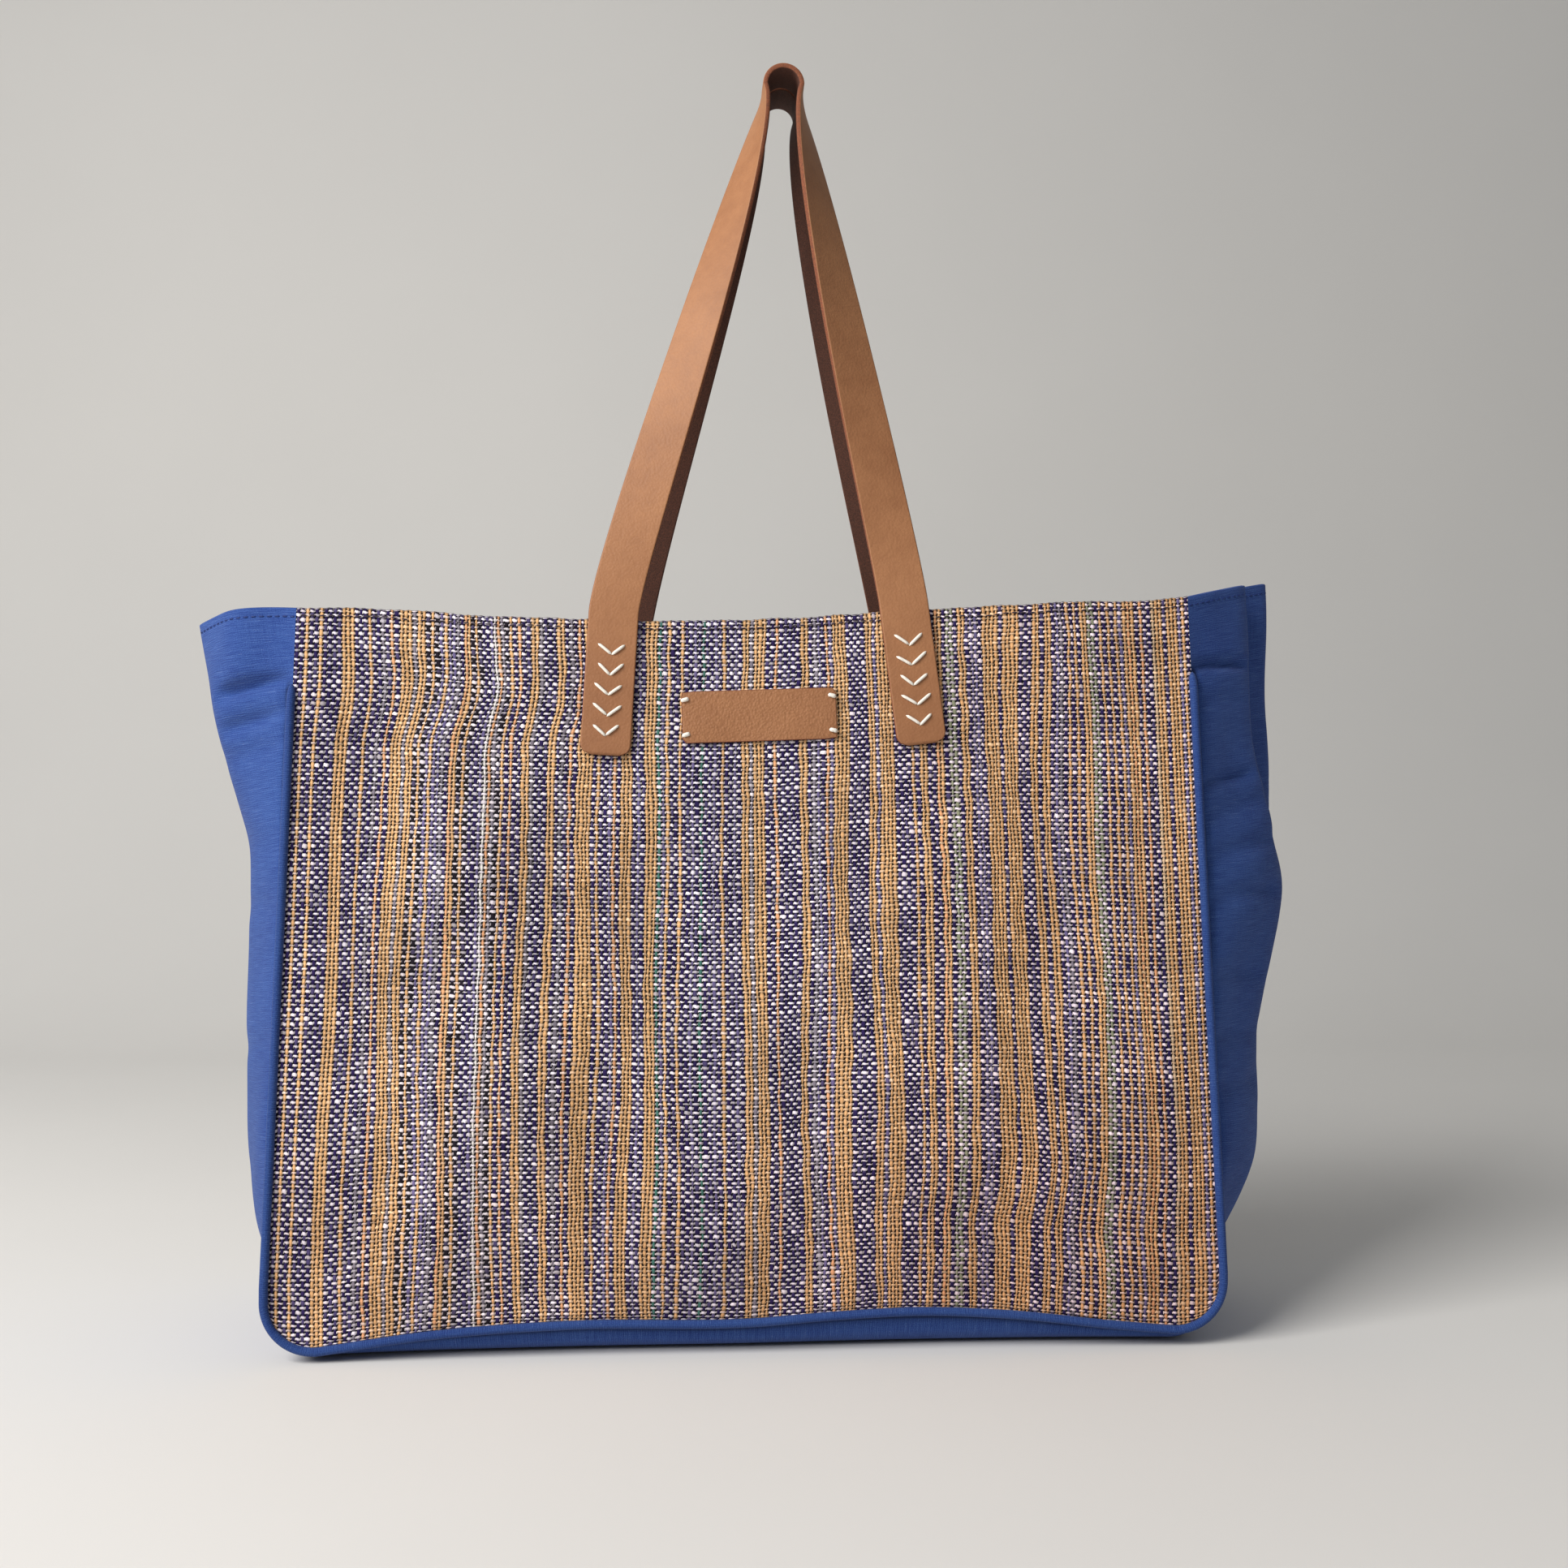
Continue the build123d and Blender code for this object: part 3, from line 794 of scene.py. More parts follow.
def floor_material(colour):
    """Pale matt floor with a faint cloudiness."""
    material, start = new_material("pale_floor")
    place = start.node("ShaderNodeTexCoord", None, None, 3)
    clouds = place.noise(3.0, 3)
    tint = (clouds * 0.05 + 0.97).shade(colour)
    finish_material(start, tint, 0.9, clouds, 0.0002, specular=0.2)
    return material


def read_draft(draft):
    """The draft written out: one yarn letter for each warp end."""
    groups = draft.split()
    return "".join(group[0] * int(group[1:] or 1) for group in groups)


def yarn_tables(colours, picks):
    """Colour and half width of warp and weft in each crossing, row by row, with uneven spinning and painted
    light and shade.
    """
    yarns = {
        "n": (colours.navy, 0.39), "k": (colours.black, 0.39), "g": (colours.grey, 0.35),
        "l": (colours.lilac, 0.35), "o": (colours.ochre, 0.37), "p": (colours.peach, 0.35),
        "w": (colours.white, 0.28), "t": (colours.teal, 0.29), "e": (colours.sage, 0.35),
        "s": (colours.sand, 0.36),
    }
    letters = read_draft(WARP_DRAFT)
    draw = np.random.default_rng(21)
    ends = len(letters)
    end, pick = np.meshgrid(np.arange(ends), np.arange(picks))
    warp = np.array([(*yarns[letter][0], yarns[letter][1]) for letter in letters])
    warp = np.tile(warp, (picks, 1, 1))
    warp[..., :3] *= draw.uniform(0.86, 1.12, (1, ends, 1))
    warp[..., :3] *= 1 + 0.10 * ripple(end / 3.0, pick / 30, 31)[..., None]
    warp[..., 3] *= 1 + 0.10 * ripple(end / 2.0, pick / 14, 32)
    row = np.array(list(letters))
    tan, dark = (np.isin(row, list(kinds))[None, :, None] for kinds in ("ops", "nk"))
    fleck = (draw.random((picks, ends, 1)) < 0.3) & dark
    warp[..., :3] += (np.array(colours.lilac) - warp[..., :3]) * 0.45 * fleck
    weft = np.broadcast_to(np.array(colours.weft), (picks, ends, 3))
    warm = np.broadcast_to(np.array(colours.warm_weft), (picks, ends, 3))
    share = end[..., None] / ends
    weft = weft * (1 - np.array([0.03, 0.11, 0.11]) * step(share, 0.5, 0.8))
    # Painted shade: the weft darker on the left part of the cloth, against the stronger light there
    weft = weft * (1 - 0.12 * (1 - step(share, 0.0, 0.35)))
    warp[..., :3] *= 1 - np.array([0.0, 0.06, 0.09]) * tan * step(share, 0.55, 0.85)
    beside = (np.roll(tan, 1, axis=1) + 2.0 * tan + np.roll(tan, -1, axis=1)) / 4
    weft = weft + (warm - weft) * np.minimum(beside * 1.25, 1) * (0.25 + 0.75 * tan)
    weft = weft * draw.uniform(0.80, 1.10, (picks, 1, 1))
    weft = weft * (1 + 0.14 * ripple(end / 11.0, pick / 1.7, 33)[..., None])
    dull = np.where(tan, 0.82, 0.6)
    is_dull = draw.random((picks, ends, 1)) < 0.14
    weft = weft * np.where(is_dull, dull, draw.uniform(0.82, 1.12, (picks, ends, 1)))
    half = 0.335 * (1 + 0.22 * ripple(end / 9.0, pick * 0.83, 34)) * draw.uniform(0.8, 1.15, (picks, ends))
    half = np.where(tan[..., 0], half * 0.86, half)
    # Painted light and shade: broad brighter and darker patches standing in for the light on the cloth's
    # folds, less a darker patch for the upright fold on the left
    painted_light_and_shade = 1 + 0.11 * ripple(end / 75.0, pick / 48, 35) + 0.05 * ripple(end / 24.0, pick / 18, 36)
    painted_light_and_shade -= 0.11 * bell(end / ends, 0.2, 0.14) * bell(pick / picks, 0.55, 0.22)
    # Painted shade low on the panel, with a warmer tint of the cloth there, both stronger towards the right
    low = (1 - step(pick, 8, 75))[..., None] * np.array([0.10, 0.17, 0.18])
    low = low * (0.4 + 0.6 * step(share, 0.25, 0.8))
    warp[..., :3] *= painted_light_and_shade[..., None] * (1 - low)
    weft = weft * painted_light_and_shade[..., None] * (1 - low)
    return warp, np.concatenate([weft, half[..., None]], axis=-1)


def corner_colours(mesh, name, cells):
    """Stores one colour per face, in grid order, on all four of the face's corners."""
    layer = mesh.attributes.new(name, "FLOAT_COLOR", "CORNER")
    layer.data.foreach_set("color", np.repeat(cells.reshape(-1, 4), 4, axis=0).astype(np.float32).ravel())


def point_values(mesh, name, values):
    layer = mesh.attributes.new(name, "FLOAT", "POINT")
    layer.data.foreach_set("value", values.astype(np.float32).ravel())


def panel_grid(shape, picks):
    """Front cloth with one face per crossing, then its hem turned over the mouth and down inside.

    Fine tan and white ends lie closer together than the dark ones.
    """
    widths = np.array([0.97 if letter in "opsw" else 1.03 for letter in read_draft(WARP_DRAFT)])
    ends = len(widths)
    columns = np.append(0, np.cumsum(widths)) / widths.sum() * 2 - 1
    across, rise = np.meshgrid(columns, np.linspace(0, 1, picks + 1))
    points = shape.panel(across, rise)
    points[-1, :, 2] += 0.00018 * np.where(np.arange(ends + 1) % 2, 1, -1)
    thick, depth = shape.sizes.cloth_thickness, shape.sizes.hem_depth
    over = np.array([(0.15, 0.4), (0.75, 0.6), (1.35, 0.2)]) * thick
    down = np.stack([np.full(4, 1.5 * thick), -np.linspace(0.2, 1, 4) * depth], -1)
    hem = np.concatenate([over, down])
    turned = points[-1] - shape.outward * hem[:, :1, None] + shape.upward * hem[:, 1:, None]
    return np.concatenate([points, turned])


class TOTE_OT_panels(bpy.types.Operator):
    """Weaves the striped front and back panels from the warp draft"""

    bl_idname = "tote.panels"
    bl_label = "Woven Panels"

    def execute(self, context):
        sizes, colours = context.scene.tote_sizes, context.scene.tote_colours
        shape = BagShape(sizes)
        ends = len(read_draft(WARP_DRAFT))
        picks = round((sizes.body_height - sizes.rim_drop - sizes.seam_low) / sizes.pick_pitch)
        points = panel_grid(shape, picks)
        rows = len(points) - 1
        uv = np.stack(np.meshgrid(np.arange(ends + 1.0), np.arange(rows + 1.0)), axis=-1)
        warp, weft = yarn_tables(colours, rows)
        material = woven_material()
        sides = {"front_panel": (points, uv, warp, weft)}
        sides["back_panel"] = (mirrored(points), uv[:, ::-1], warp[:, ::-1], weft[:, ::-1])
        for node, (places, threads, warp_cells, weft_cells) in sides.items():
            piece = lay_mesh(node + "_cloth", places, threads, uv_name="threads")
            corner_colours(piece.data, "warp", warp_cells)
            corner_colours(piece.data, "weft", weft_cells)
            dress(piece, material, "striped_cloth", node)
        return {"FINISHED"}


def gusset_grid(shape):
    """Gusset with its creases pressed in along the normals and a hem turned in at both mouths."""
    seam, fold, wrap = shape.girdle()
    turn = np.sin(np.linspace(-1, 1, 81) * np.pi / 2 * 0.9) / math.sin(np.pi / 2 * 0.9)
    points = shape.gusset(seam, fold, wrap, turn)
    side = np.where(fold[:, 0] < 0, -1, 1)
    below = np.where(wrap > 0, 1.0, shape.rim(fold[:, 0]) - fold[:, 1])
    inset = np.zeros(points.shape[:2])
    for crease_side, place, depth, width, reach in CREASES:
        front = 1 - step((turn + 1) / 2, reach * 0.6, reach)
        slant = 0.003 * np.sin(3 * turn + 40 * place)
        press = bell(below[:, None], place + slant[None, :], width)
        inset += depth * press * front[None, :] * (side == crease_side)[:, None]
    loose = 1 - np.abs(turn[None, :]) ** 8
    row_place = np.arange(len(points))[:, None] / 40.0 + 0 * turn
    soft = ripple(row_place, turn[None, :] * 1.1 + 0 * fold[:, :1], 41)
    flat = 1 - 0.8 * wrap[:, None]
    full = 0.0036 * bell(turn, -0.68, 0.17)[None, :] * ((1 - step(below, 0.018, 0.05)) * (side < 0))[:, None]
    groove = 0.0016 * step(np.abs(turn), 0.90, 0.99) * (below > shape.sizes.piping_start)[:, None]
    press = (inset - 0.0011 * soft * flat) * loose + groove - full
    points = points - grid_normals(points) * press[..., None]
    points[..., 2] = np.maximum(points[..., 2], 0.0002)
    hem = np.array([
        (0.0004, 0.0005), (0.0014, 0.0006), (0.0022, -0.0002), (0.0026, -0.004), (0.0028, -0.012),
    ])
    shrink = np.stack([1 - hem[:, 0] / shape.half_rim, 1 - hem[:, 0] / (shape.sizes.rim_depth / 2)], -1)
    rims = []
    for edge in (points[0], points[-1]):
        rim = np.repeat(edge[None], len(hem), axis=0)
        rim[..., :2] = rim[..., :2] * shrink[:, None, :]
        rim[..., 2] += hem[:, 1][:, None]
        rims.append(rim)
    return np.concatenate([rims[0][::-1], points, rims[1]])


class TOTE_OT_gusset(bpy.types.Operator):
    """Makes the one-piece blue gusset: left side, base and right side"""

    bl_idname = "tote.gusset"
    bl_label = "Gusset"

    def execute(self, context):
        sizes, colours = context.scene.tote_sizes, context.scene.tote_colours
        points = gusset_grid(BagShape(sizes))[:, ::-1]
        uv = cloth_uv(points, column=40)
        piece = lay_mesh("gusset_cloth", points, uv)
        # Seam value for the cotton: painted shade in the groove beside the piping, only where the piping runs
        edge = np.minimum(uv[..., 0], uv[:, -1:, 0] - uv[..., 0])
        run, far = uv[..., 1], uv[..., 1].max()
        piped = step(run, 0.05, 0.056) * (1 - step(run, far - 0.056, far - 0.05))
        point_values(piece.data, "seam", bell(edge, 0.0038, 0.0012) * piped)
        light, dark = flat_colour(colours.blue_cotton), flat_colour(colours.blue_shade)
        material = cotton_material("blue_cotton", light, dark)
        dress(piece, material, "blue_cotton", "gusset")
        return {"FINISHED"}


def lining_grid(shape, inset=0.0042):
    """Lining: rings round the inside of the body from the floor of the bag to just below the mouth.

    Each ring has a straight front and back and two arched sides, and the lowest rings close to a line.
    """
    sizes = shape.sizes
    line, turn = np.linspace(-1, 1, 41)[:-1], np.linspace(-1, 1, 31)[:-1]
    level = np.linspace(0, 1, 60)[:, None]
    low, end = np.ones_like(line), np.ones_like(turn)
    across = np.concatenate([line, end, -line, -end])
    depth = np.concatenate([-low, turn, low, -turn])
    side = np.concatenate([0 * line, end, 0 * line, -end])
    arch = shape.fold_share(side, sizes.body_height, depth)
    guide = across * shape.half_rim + side * arch * sizes.side_flare
    below_mouth = 0.003
    top = shape.rim(guide)[None, :] - below_mouth
    z = inset + (top - inset) * level
    corner = sizes.corner_radius
    tuck = corner - np.sqrt(corner**2 - np.clip(corner - z, 0, corner) ** 2)
    flare = np.where(side < 0, shape.flare(-1, z), shape.flare(1, z)) * shape.fold_share(side, z, depth)
    x = across * (shape.half_width(z) - inset - tuck) + side * np.maximum(flare - inset / 2, 0)
    swell = shape.belly(np.broadcast_to(across, z.shape), z) * (side == 0)
    y = depth * (shape.half_depth(z) + swell - inset - tuck * 0.5)
    rings = np.stack([x, y, z], -1)
    keel = rings[:1] * np.array([1, 0, 1])
    spread = rings[:1] * np.array([0, 1, 0])
    floor = keel + spread * np.array([0, 0.5, 0.9])[:, None, None]
    return np.concatenate([floor, rings])


class TOTE_OT_lining(bpy.types.Operator):
    """Makes the plain lining inside the bag"""

    bl_idname = "tote.lining"
    bl_label = "Lining"

    def execute(self, context):
        sizes, colours = context.scene.tote_sizes, context.scene.tote_colours
        points = lining_grid(BagShape(sizes))[:, ::-1]
        piece = lay_mesh("lining_cloth", points, ring_uv(points), closed=True)
        light, dark = flat_colour(colours.lining), flat_colour(darker(colours.lining, 0.6))
        material = cotton_material("lining_cotton", light, dark)
        dress(piece, material, "lining_cotton", "lining")
        return {"FINISHED"}


def piping_grid(shape):
    """Corded seam: a tube along the front seam with two rounded ends a little below the mouth."""
    sizes = shape.sizes
    proud, nose_length, dive_length, dive_depth, tip_radius = 0.0011, 0.007, 0.010, 0.0012, 0.00002
    seam, _, _ = shape.girdle(side_rows=260, corner_rows=24, base_rows=160)
    below = shape.rim(seam[:, 0]) - seam[:, 1]
    keep = below > sizes.piping_start
    seam, below = seam[keep], below[keep]
    places = np.stack([seam[:, 0], -shape.half_depth(seam[:, 1]) - proud, seam[:, 1]], -1)
    heading = unit(np.gradient(seam, axis=0))
    outward = np.stack([heading[:, 1], 0 * below, -heading[:, 0]], -1)
    run = np.concatenate([[0], np.cumsum(np.linalg.norm(np.diff(places, axis=0), axis=1))])
    past = np.minimum(run, run[-1] - run)
    end = step(past, 0, dive_length)
    radii = sizes.piping_radius * np.sqrt(1 - (1 - np.clip(past / nose_length, 0.002, 1)) ** 2)
    places = places + outward * (0.0010 * np.abs(heading[:, 1:]) - 0.0005)
    places[:, 1] += dive_depth * (1 - end)
    radii[[0, -1]] = tip_radius
    return tube_surface(places, radii, np.array([0.0, -1, 0]))


class TOTE_OT_piping(bpy.types.Operator):
    """Makes the corded piping in the front and back seams"""

    bl_idname = "tote.piping"
    bl_label = "Piping"

    def execute(self, context):
        colours = context.scene.tote_colours
        points = piping_grid(BagShape(context.scene.tote_sizes))
        uv = ring_uv(points)
        # Painted shade: the piping's cotton is a fifth darker than the gusset's, in place of the seam's shade
        light, dark = darker(colours.blue_cotton, 0.8), darker(colours.blue_shade, 0.8)
        material = cotton_material("piping_cotton", flat_colour(light), flat_colour(dark))
        for node, places in (("front_piping", points), ("back_piping", mirrored(points))):
            piece = lay_mesh(node + "_cord", places, uv, closed=True)
            dress(piece, material, "blue_cotton", node)
        return {"FINISHED"}


class TOTE_OT_handles(bpy.types.Operator):
    """Makes the two twisting leather handles"""

    bl_idname = "tote.handles"
    bl_label = "Leather Handles"

    def execute(self, context):
        colours = context.scene.tote_colours
        shape = BagShape(context.scene.tote_sizes)
        points, uv, side = handle_surface(shape)
        material = leather_material("handle_leather", colours)
        handles = {"front_handle": (points, side), "back_handle": (behind(points, shape), side[:, ::-1])}
        for node, (places, ring) in handles.items():
            piece = lay_mesh(node + "_leather", places[:, ::-1], uv, closed=True)
            point_values(piece.data, "side", ring[:, ::-1])
            dress(piece, material, "leather", node)
        return {"FINISHED"}


def chevron_ends(shape):
    """Start and end of each chevron arm on the two sewn strap ends, a little uneven, and their way out."""
    sizes = shape.sizes
    draw = np.random.default_rng(5)
    row, arm = [grid.ravel() for grid in np.meshgrid(np.arange(5), [-1, 1])]
    starts, ends, away = [], [], []
    for side in (-1, 1):
        place, across, up, out = shape.tab(side)
        seat = place + out * (sizes.strap_lift + sizes.strap_thickness)
        low = -sizes.tab_length + sizes.chevron_margin + row * sizes.chevron_pitch
        slip = draw.normal(0, 0.0005, (4, len(row)))
        foot = arm * -0.0002 + slip[0] * 0.5
        head = arm * sizes.chevron_half + slip[1]
        starts.append(seat + across * foot[:, None] + up * (low + slip[2] * 0.6)[:, None])
        ends.append(seat + across * head[:, None] + up * (low + sizes.chevron_height + slip[3])[:, None])
        away.append(np.tile(out, (len(row), 1)))
    return np.concatenate(starts), np.concatenate(ends), np.concatenate(away)


class TOTE_OT_stitches(bpy.types.Operator):
    """Sews the white chevrons on the strap ends and the stitches of the label"""

    bl_idname = "tote.stitches"
    bl_label = "Hand Stitches"

    def execute(self, context):
        sizes, colours = context.scene.tote_sizes, context.scene.tote_colours
        shape = BagShape(sizes)
        material = thread_material("white_thread", colours.thread, darker(colours.thread, 0.72))
        chevrons = stitch_surfaces(*chevron_ends(shape), sizes.thread_radius)
        label_threads = stitch_surfaces(*label_stitch_ends(shape), sizes.thread_radius * 1.35)
        threads = {"front_handle_stitches": chevrons, "back_handle_stitches": behind(chevrons, shape)}
        threads["label_stitches"] = label_threads
        for node, points in threads.items():
            piece = lay_mesh(node + "_thread", points[..., ::-1, :], closed=True)
            dress(piece, material, "white_thread", node)
        return {"FINISHED"}


def label_frame(shape):
    """Seat of the label on the front panel: its middle, and its directions across, up and away."""
    sizes = shape.sizes
    z = sizes.body_height - sizes.rim_drop - sizes.label_drop
    across = np.array([math.cos(sizes.label_tilt), 0, 0]) + shape.upward * math.sin(sizes.label_tilt)
    seat = np.array([sizes.label_offset, -float(shape.half_depth(np.array(z))), z])
    return seat + shape.outward * sizes.strap_lift, across, np.cross(shape.outward, across)


def label_stitch_ends(shape):
    """Start and end of the short stitch over each short edge, near the label's corners."""
    sizes = shape.sizes
    seat, across, up = label_frame(shape)
    side, level = [grid.ravel() for grid in np.meshgrid([-1, 1], [-1, 1])]
    half_width, margin, overhang, reach, slant = sizes.label_width / 2, 0.0042, 0.0003, 0.0040, 0.0006
    height = level * (sizes.label_height / 2 - margin)
    top = seat + shape.outward * sizes.label_thickness * 0.96
    outer = top + across * (side * (half_width + overhang))[:, None] + up * (height - slant)[:, None]
    inner = top + across * (side * (half_width - reach))[:, None] + up * (height + slant)[:, None]
    return outer, inner, np.tile(shape.outward, (4, 1))


def label_surface(shape, corner=0.0016):
    """Leather label: rounded rectangles that climb the cut edge, turn over it and close on the full face.

    Returns the points and each ring's side, as for a handle.
    """
    sizes = shape.sizes
    seat, across, up = label_frame(shape)
    turn = np.linspace(0, 2 * np.pi, 96, endpoint=False) + 0.01
    half = np.array([sizes.label_width / 2, sizes.label_height / 2])
    reach = 1 / np.maximum(np.abs(np.cos(turn)) / half[0], np.abs(np.sin(turn)) / half[1])
    square = np.stack([np.cos(turn), np.sin(turn)], -1) * reach[:, None]
    past = np.maximum(np.abs(square) - (half - corner), 0)
    trim = 1 - 1 / np.maximum(1, np.hypot(*past.T) / corner)
    square = np.sign(square) * (np.abs(square) - past * trim[:, None])
    inset = np.array([0.0120, 0.0004, 0.0, 0.0, 0.0, 0.00025, 0.0006, 0.0016, 0.004, 0.008, 0.0125])
    height = np.array([0.0, 0.0, 0.08, 0.5, 0.84, 0.96, 1.0, 1.02, 1.05, 1.08, 1.1]) * sizes.label_thickness
    side = np.array([-1, -1, -0.5, 0.0, 0.5, 0.8, 1, 1, 1, 1, 1.0])
    shrunk = square[None] * (1 - inset[:, None, None] / half)
    wave = 0.0004 * np.sin(shrunk[..., 0] * 120) * step(-shrunk[..., 1], 0, half[1])
    points = seat + shrunk[..., :1] * across + shrunk[..., 1:] * up
    points = points + shape.outward * (height[:, None] + wave)[..., None]
    middle = seat + shape.outward * sizes.label_thickness * np.array([0, 1.1])[:, None]
    rims = points[[0, -1]]
    caps = np.repeat(middle[:, None], len(turn), axis=1) + (rims - rims.mean(1, keepdims=True)) * 0.02
    points = np.concatenate([caps[:1], points, caps[1:]])
    return points, np.tile(np.concatenate([[-1], side, [1]])[:, None], (1, len(turn)))


class TOTE_OT_label(bpy.types.Operator):
    """Makes the bare leather label"""

    bl_idname = "tote.label"
    bl_label = "Leather Label"

    def execute(self, context):
        points, side = label_surface(BagShape(context.scene.tote_sizes))
        piece = lay_mesh("label_leather", points, closed=True)
        point_values(piece.data, "side", side)
        material = leather_material("label_leather", context.scene.tote_colours, pebble=2.4)
        dress(piece, material, "leather", "label")
        return {"FINISHED"}


def mouth_stitch_ends(shape):
    """Start and end of the machine stitches a little below the mouth of one panel."""
    sizes = shape.sizes
    count = int(2 * shape.half_rim / sizes.topstitch_pitch)
    middle = np.linspace(-0.985, 0.985, count)
    half = 0.40 * sizes.topstitch_pitch / shape.half_rim
    rise = 1 - sizes.topstitch_inset / (sizes.body_height - sizes.rim_drop)
    starts = shape.panel(middle - half, np.full(count, rise)) + shape.outward * 0.0002
    ends = shape.panel(middle + half, np.full(count, rise)) + shape.outward * 0.0002
    return starts, ends, np.tile(shape.outward, (count, 1))


def side_stitch_ends(shape, side):
    """Start and end of the machine stitches below the mouth of one side fold, seated on the gusset."""
    pitch = shape.sizes.topstitch_pitch
    points = gusset_grid(shape)
    row = 7 if side < 0 else len(points) - 8
    away = grid_normals(points)[row]
    line = points[row]
    run = arc_lengths(line[None], 1)[0]
    marks = np.arange(pitch / 2, run[-1], pitch)

    def along(places, table):
        return np.stack([np.interp(places, run, column) for column in table.T], -1)

    out = unit(along(marks, away))
    flat = np.abs(out[:, 0]) < 0.9
    marks, out = marks[flat], out[flat]
    return along(marks - 0.4 * pitch, line), along(marks + 0.4 * pitch, line), out


class TOTE_OT_mouth_stitching(bpy.types.Operator):
    """Sews the machine stitching round the mouth"""

    bl_idname = "tote.mouth_stitching"
    bl_label = "Mouth Stitching"

    def execute(self, context):
        sizes, colours = context.scene.tote_sizes, context.scene.tote_colours
        shape = BagShape(sizes)
        material = thread_material("mouth_thread", colours.mouth_thread, darker(colours.mouth_thread, 0.5))
        front = stitch_surfaces(*mouth_stitch_ends(shape), PANEL_THREAD_RADIUS, rows=5, around=6)
        points = np.concatenate([front, mirrored(front)])
        piece = lay_mesh("panel_mouth_stitching", points[..., ::-1, :], closed=True)
        dress(piece, material, "white_thread")
        blue = thread_material("gusset_thread", colours.blue_shade, darker(colours.blue_shade, 0.5))
        sides = [
            stitch_surfaces(*side_stitch_ends(shape, side), GUSSET_THREAD_RADIUS, rows=5, around=6)
            for side in (-1, 1)
        ]
        piece = lay_mesh("gusset_mouth_stitching", np.concatenate(sides)[..., ::-1, :], closed=True)
        dress(piece, blue, "white_thread")
        return {"FINISHED"}


def backdrop_grid(half_width=4.0, front=-4.0, bend_start=1.0, radius=0.9, height=3.5):
    """Floor that runs back, bends up through a quarter circle and rises as a backdrop."""
    turn = np.linspace(0, np.pi / 2, 24)
    y = np.concatenate([[front], np.linspace(-1, bend_start, 8), bend_start + radius * np.sin(turn[1:])])
    z = np.concatenate([np.zeros(9), radius * (1 - np.cos(turn[1:]))])
    y, z = np.append(y, y[-1]), np.append(z, height)
    x = np.linspace(-half_width, half_width, 9)
    return np.stack(np.broadcast_arrays(x[None, :], y[:, None], z[:, None]), -1)


def add_lamp(name, place, target, size, power, colour):
    """Square soft lamp at a place, facing a target."""
    lamp = bpy.data.lights.new(name, "AREA")
    lamp.size, lamp.energy, lamp.color = size, power, colour
    piece = bpy.data.objects.new(name, lamp)
    piece.location = place
    heading = Matrix.Translation(target).translation - piece.location
    piece.rotation_euler = heading.to_track_quat("-Z", "Y").to_euler()
    bpy.context.scene.collection.objects.link(piece)


def add_camera(place, yaw, pitch, lens):
    """Camera that looks along +Y, turned right by the yaw and up by the pitch."""
    data = bpy.data.cameras.new("photo_camera")
    data.lens, data.sensor_width, data.dof.use_dof = lens, 36.0, False
    camera = bpy.data.objects.new("photo_camera", data)
    turn = Matrix.Rotation(-yaw, 4, "Z") @ Matrix.Rotation(math.pi / 2 + pitch, 4, "X")
    camera.matrix_world = Matrix.Translation(place) @ turn
    bpy.context.scene.collection.objects.link(camera)
    bpy.context.scene.camera = camera


def soft_world(light, seen):
    """Even daylight of one strength for light, and a paler one where the camera looks past the backdrop."""
    world = bpy.data.worlds.new("soft_daylight")
    world.use_nodes = True
    sky = world.node_tree.nodes["Background"]
    sky.inputs["Color"].default_value = (0.93, 0.96, 1.0, 1)
    camera_ray = Value(world.node_tree).node("ShaderNodeLightPath")
    strength = camera_ray * (seen - light) + light
    world.node_tree.links.new(strength.socket, sky.inputs["Strength"])
    return world


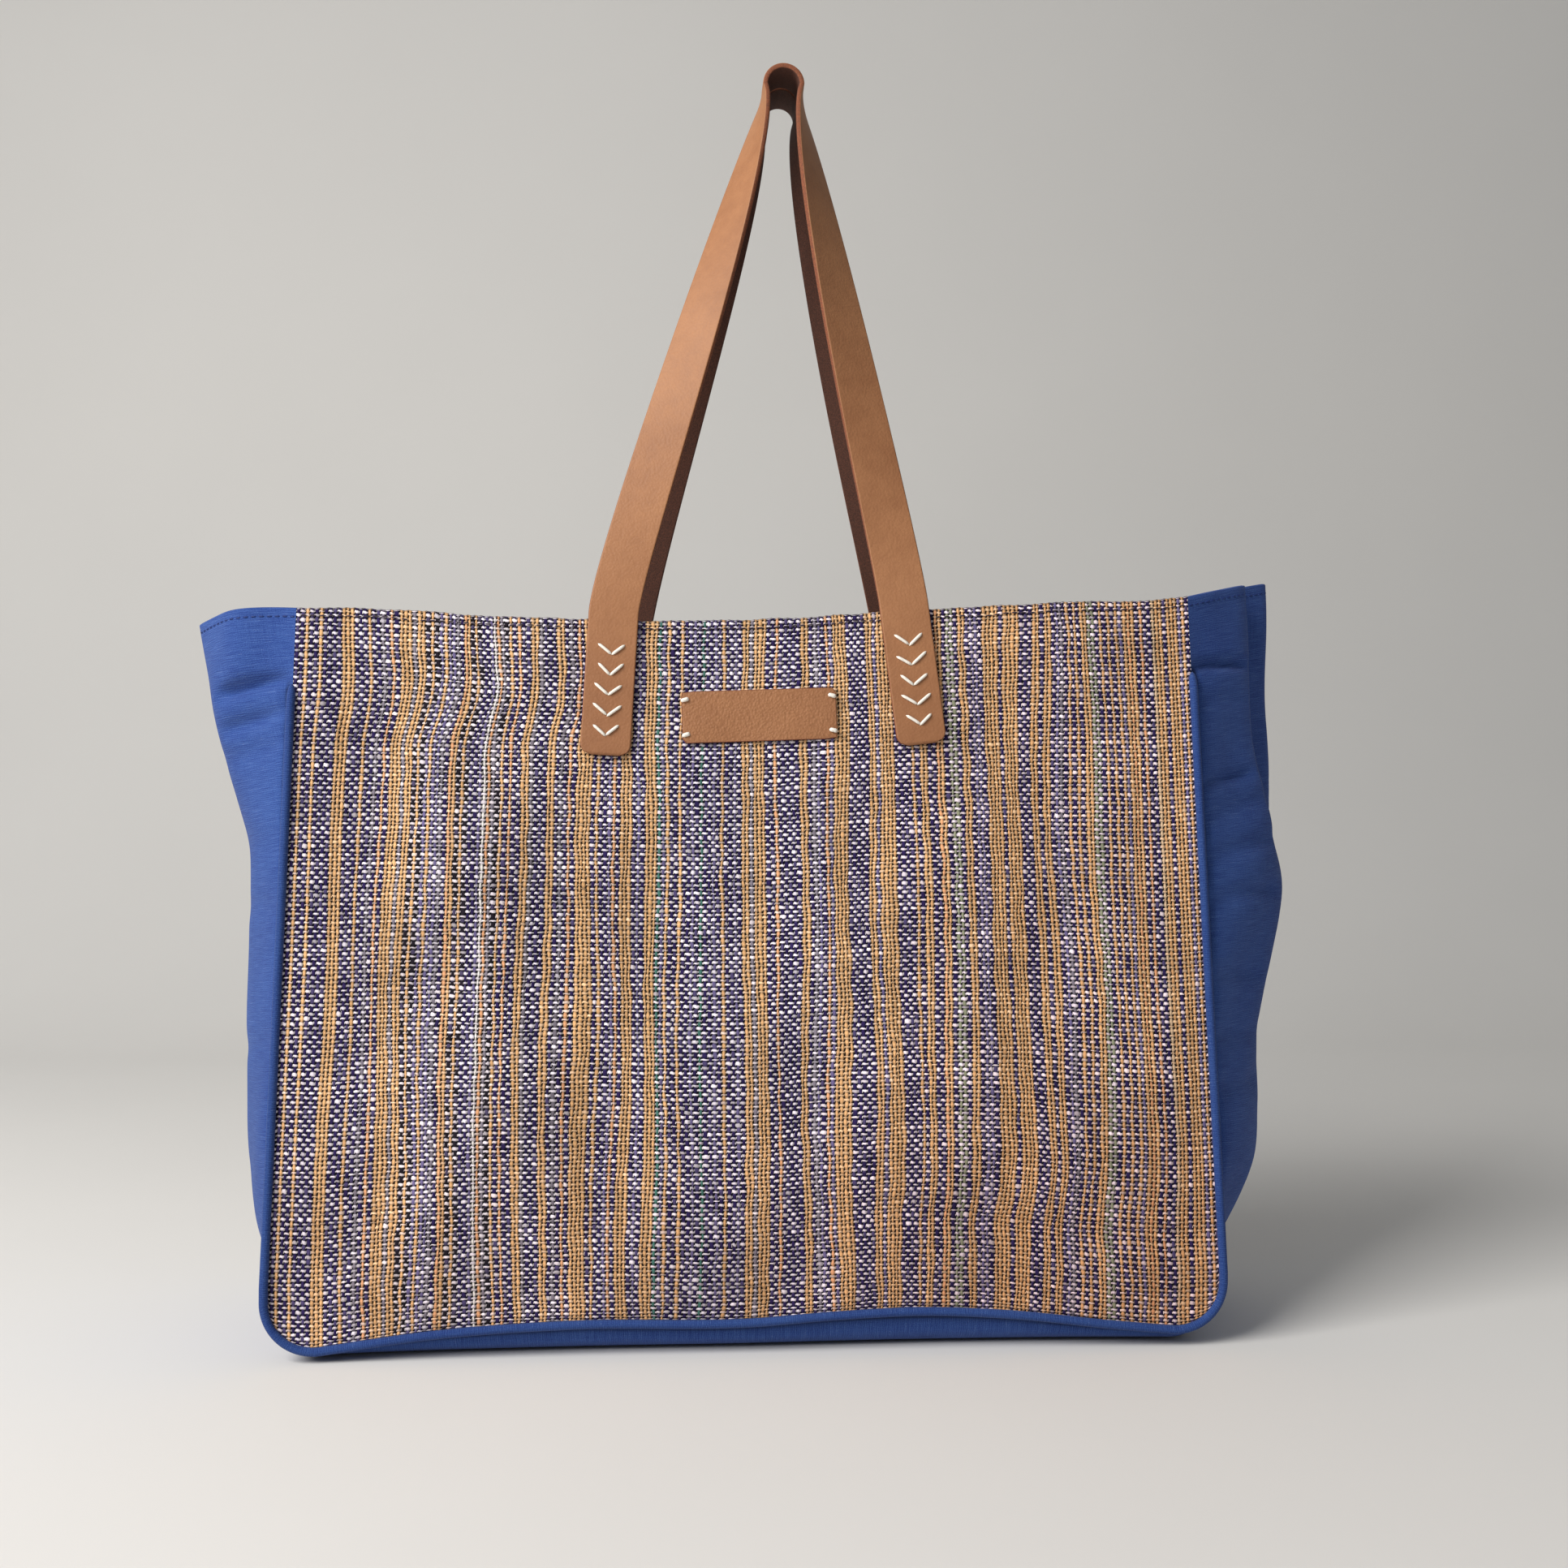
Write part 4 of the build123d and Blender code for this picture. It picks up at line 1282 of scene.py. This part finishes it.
class TOTE_OT_stage(bpy.types.Operator):
    """Sets the pale floor, the soft light from the upper left and the camera"""

    bl_idname = "tote.stage"
    bl_label = "Stage"

    def execute(self, context):
        scene = context.scene
        floor = lay_mesh("floor", backdrop_grid())
        floor.data.materials.append(floor_material(scene.tote_colours.floor))
        scene.world = soft_world(DAYLIGHT, SEEN_DAYLIGHT)
        add_lamp("window_light", WINDOW_PLACE, WINDOW_TARGET, WINDOW_SIZE, WINDOW_POWER, WINDOW_COLOUR)
        add_camera(CAMERA_PLACE, CAMERA_YAW, CAMERA_PITCH, CAMERA_LENS)
        scene.view_settings.view_transform = "Standard"
        return {"FINISHED"}


class TOTE_PT_pieces(bpy.types.Panel):
    """Lists the bag's sizes, colours and pieces"""

    bl_idname = "TOTE_PT_pieces"
    bl_label = "Tote Bag"
    bl_space_type = "VIEW_3D"
    bl_region_type = "UI"
    bl_category = "Tote Bag"

    def draw(self, context):
        for operator in OPERATORS:
            self.layout.operator(operator.bl_idname)
        for group in (context.scene.tote_sizes, context.scene.tote_colours):
            box = self.layout.box()
            for name in group.__annotations__:
                box.prop(group, name)


OPERATORS = (
    TOTE_OT_panels, TOTE_OT_gusset, TOTE_OT_lining, TOTE_OT_piping, TOTE_OT_handles,
    TOTE_OT_label, TOTE_OT_stitches, TOTE_OT_mouth_stitching, TOTE_OT_stage,
)
CLASSES = (ToteSizes, ToteColours, *OPERATORS, TOTE_PT_pieces)


def register():
    for item in CLASSES:
        bpy.utils.register_class(item)
    bpy.types.Scene.tote_sizes = bpy.props.PointerProperty(type=ToteSizes)
    bpy.types.Scene.tote_colours = bpy.props.PointerProperty(type=ToteColours)


def unregister():
    del bpy.types.Scene.tote_colours
    del bpy.types.Scene.tote_sizes
    for item in reversed(CLASSES):
        bpy.utils.unregister_class(item)


def main():
    register()
    bpy.ops.tote.panels()
    bpy.ops.tote.gusset()
    bpy.ops.tote.lining()
    bpy.ops.tote.piping()
    bpy.ops.tote.handles()
    bpy.ops.tote.label()
    bpy.ops.tote.stitches()
    bpy.ops.tote.mouth_stitching()
    bpy.ops.tote.stage()


if __name__ == "__main__":
    main()
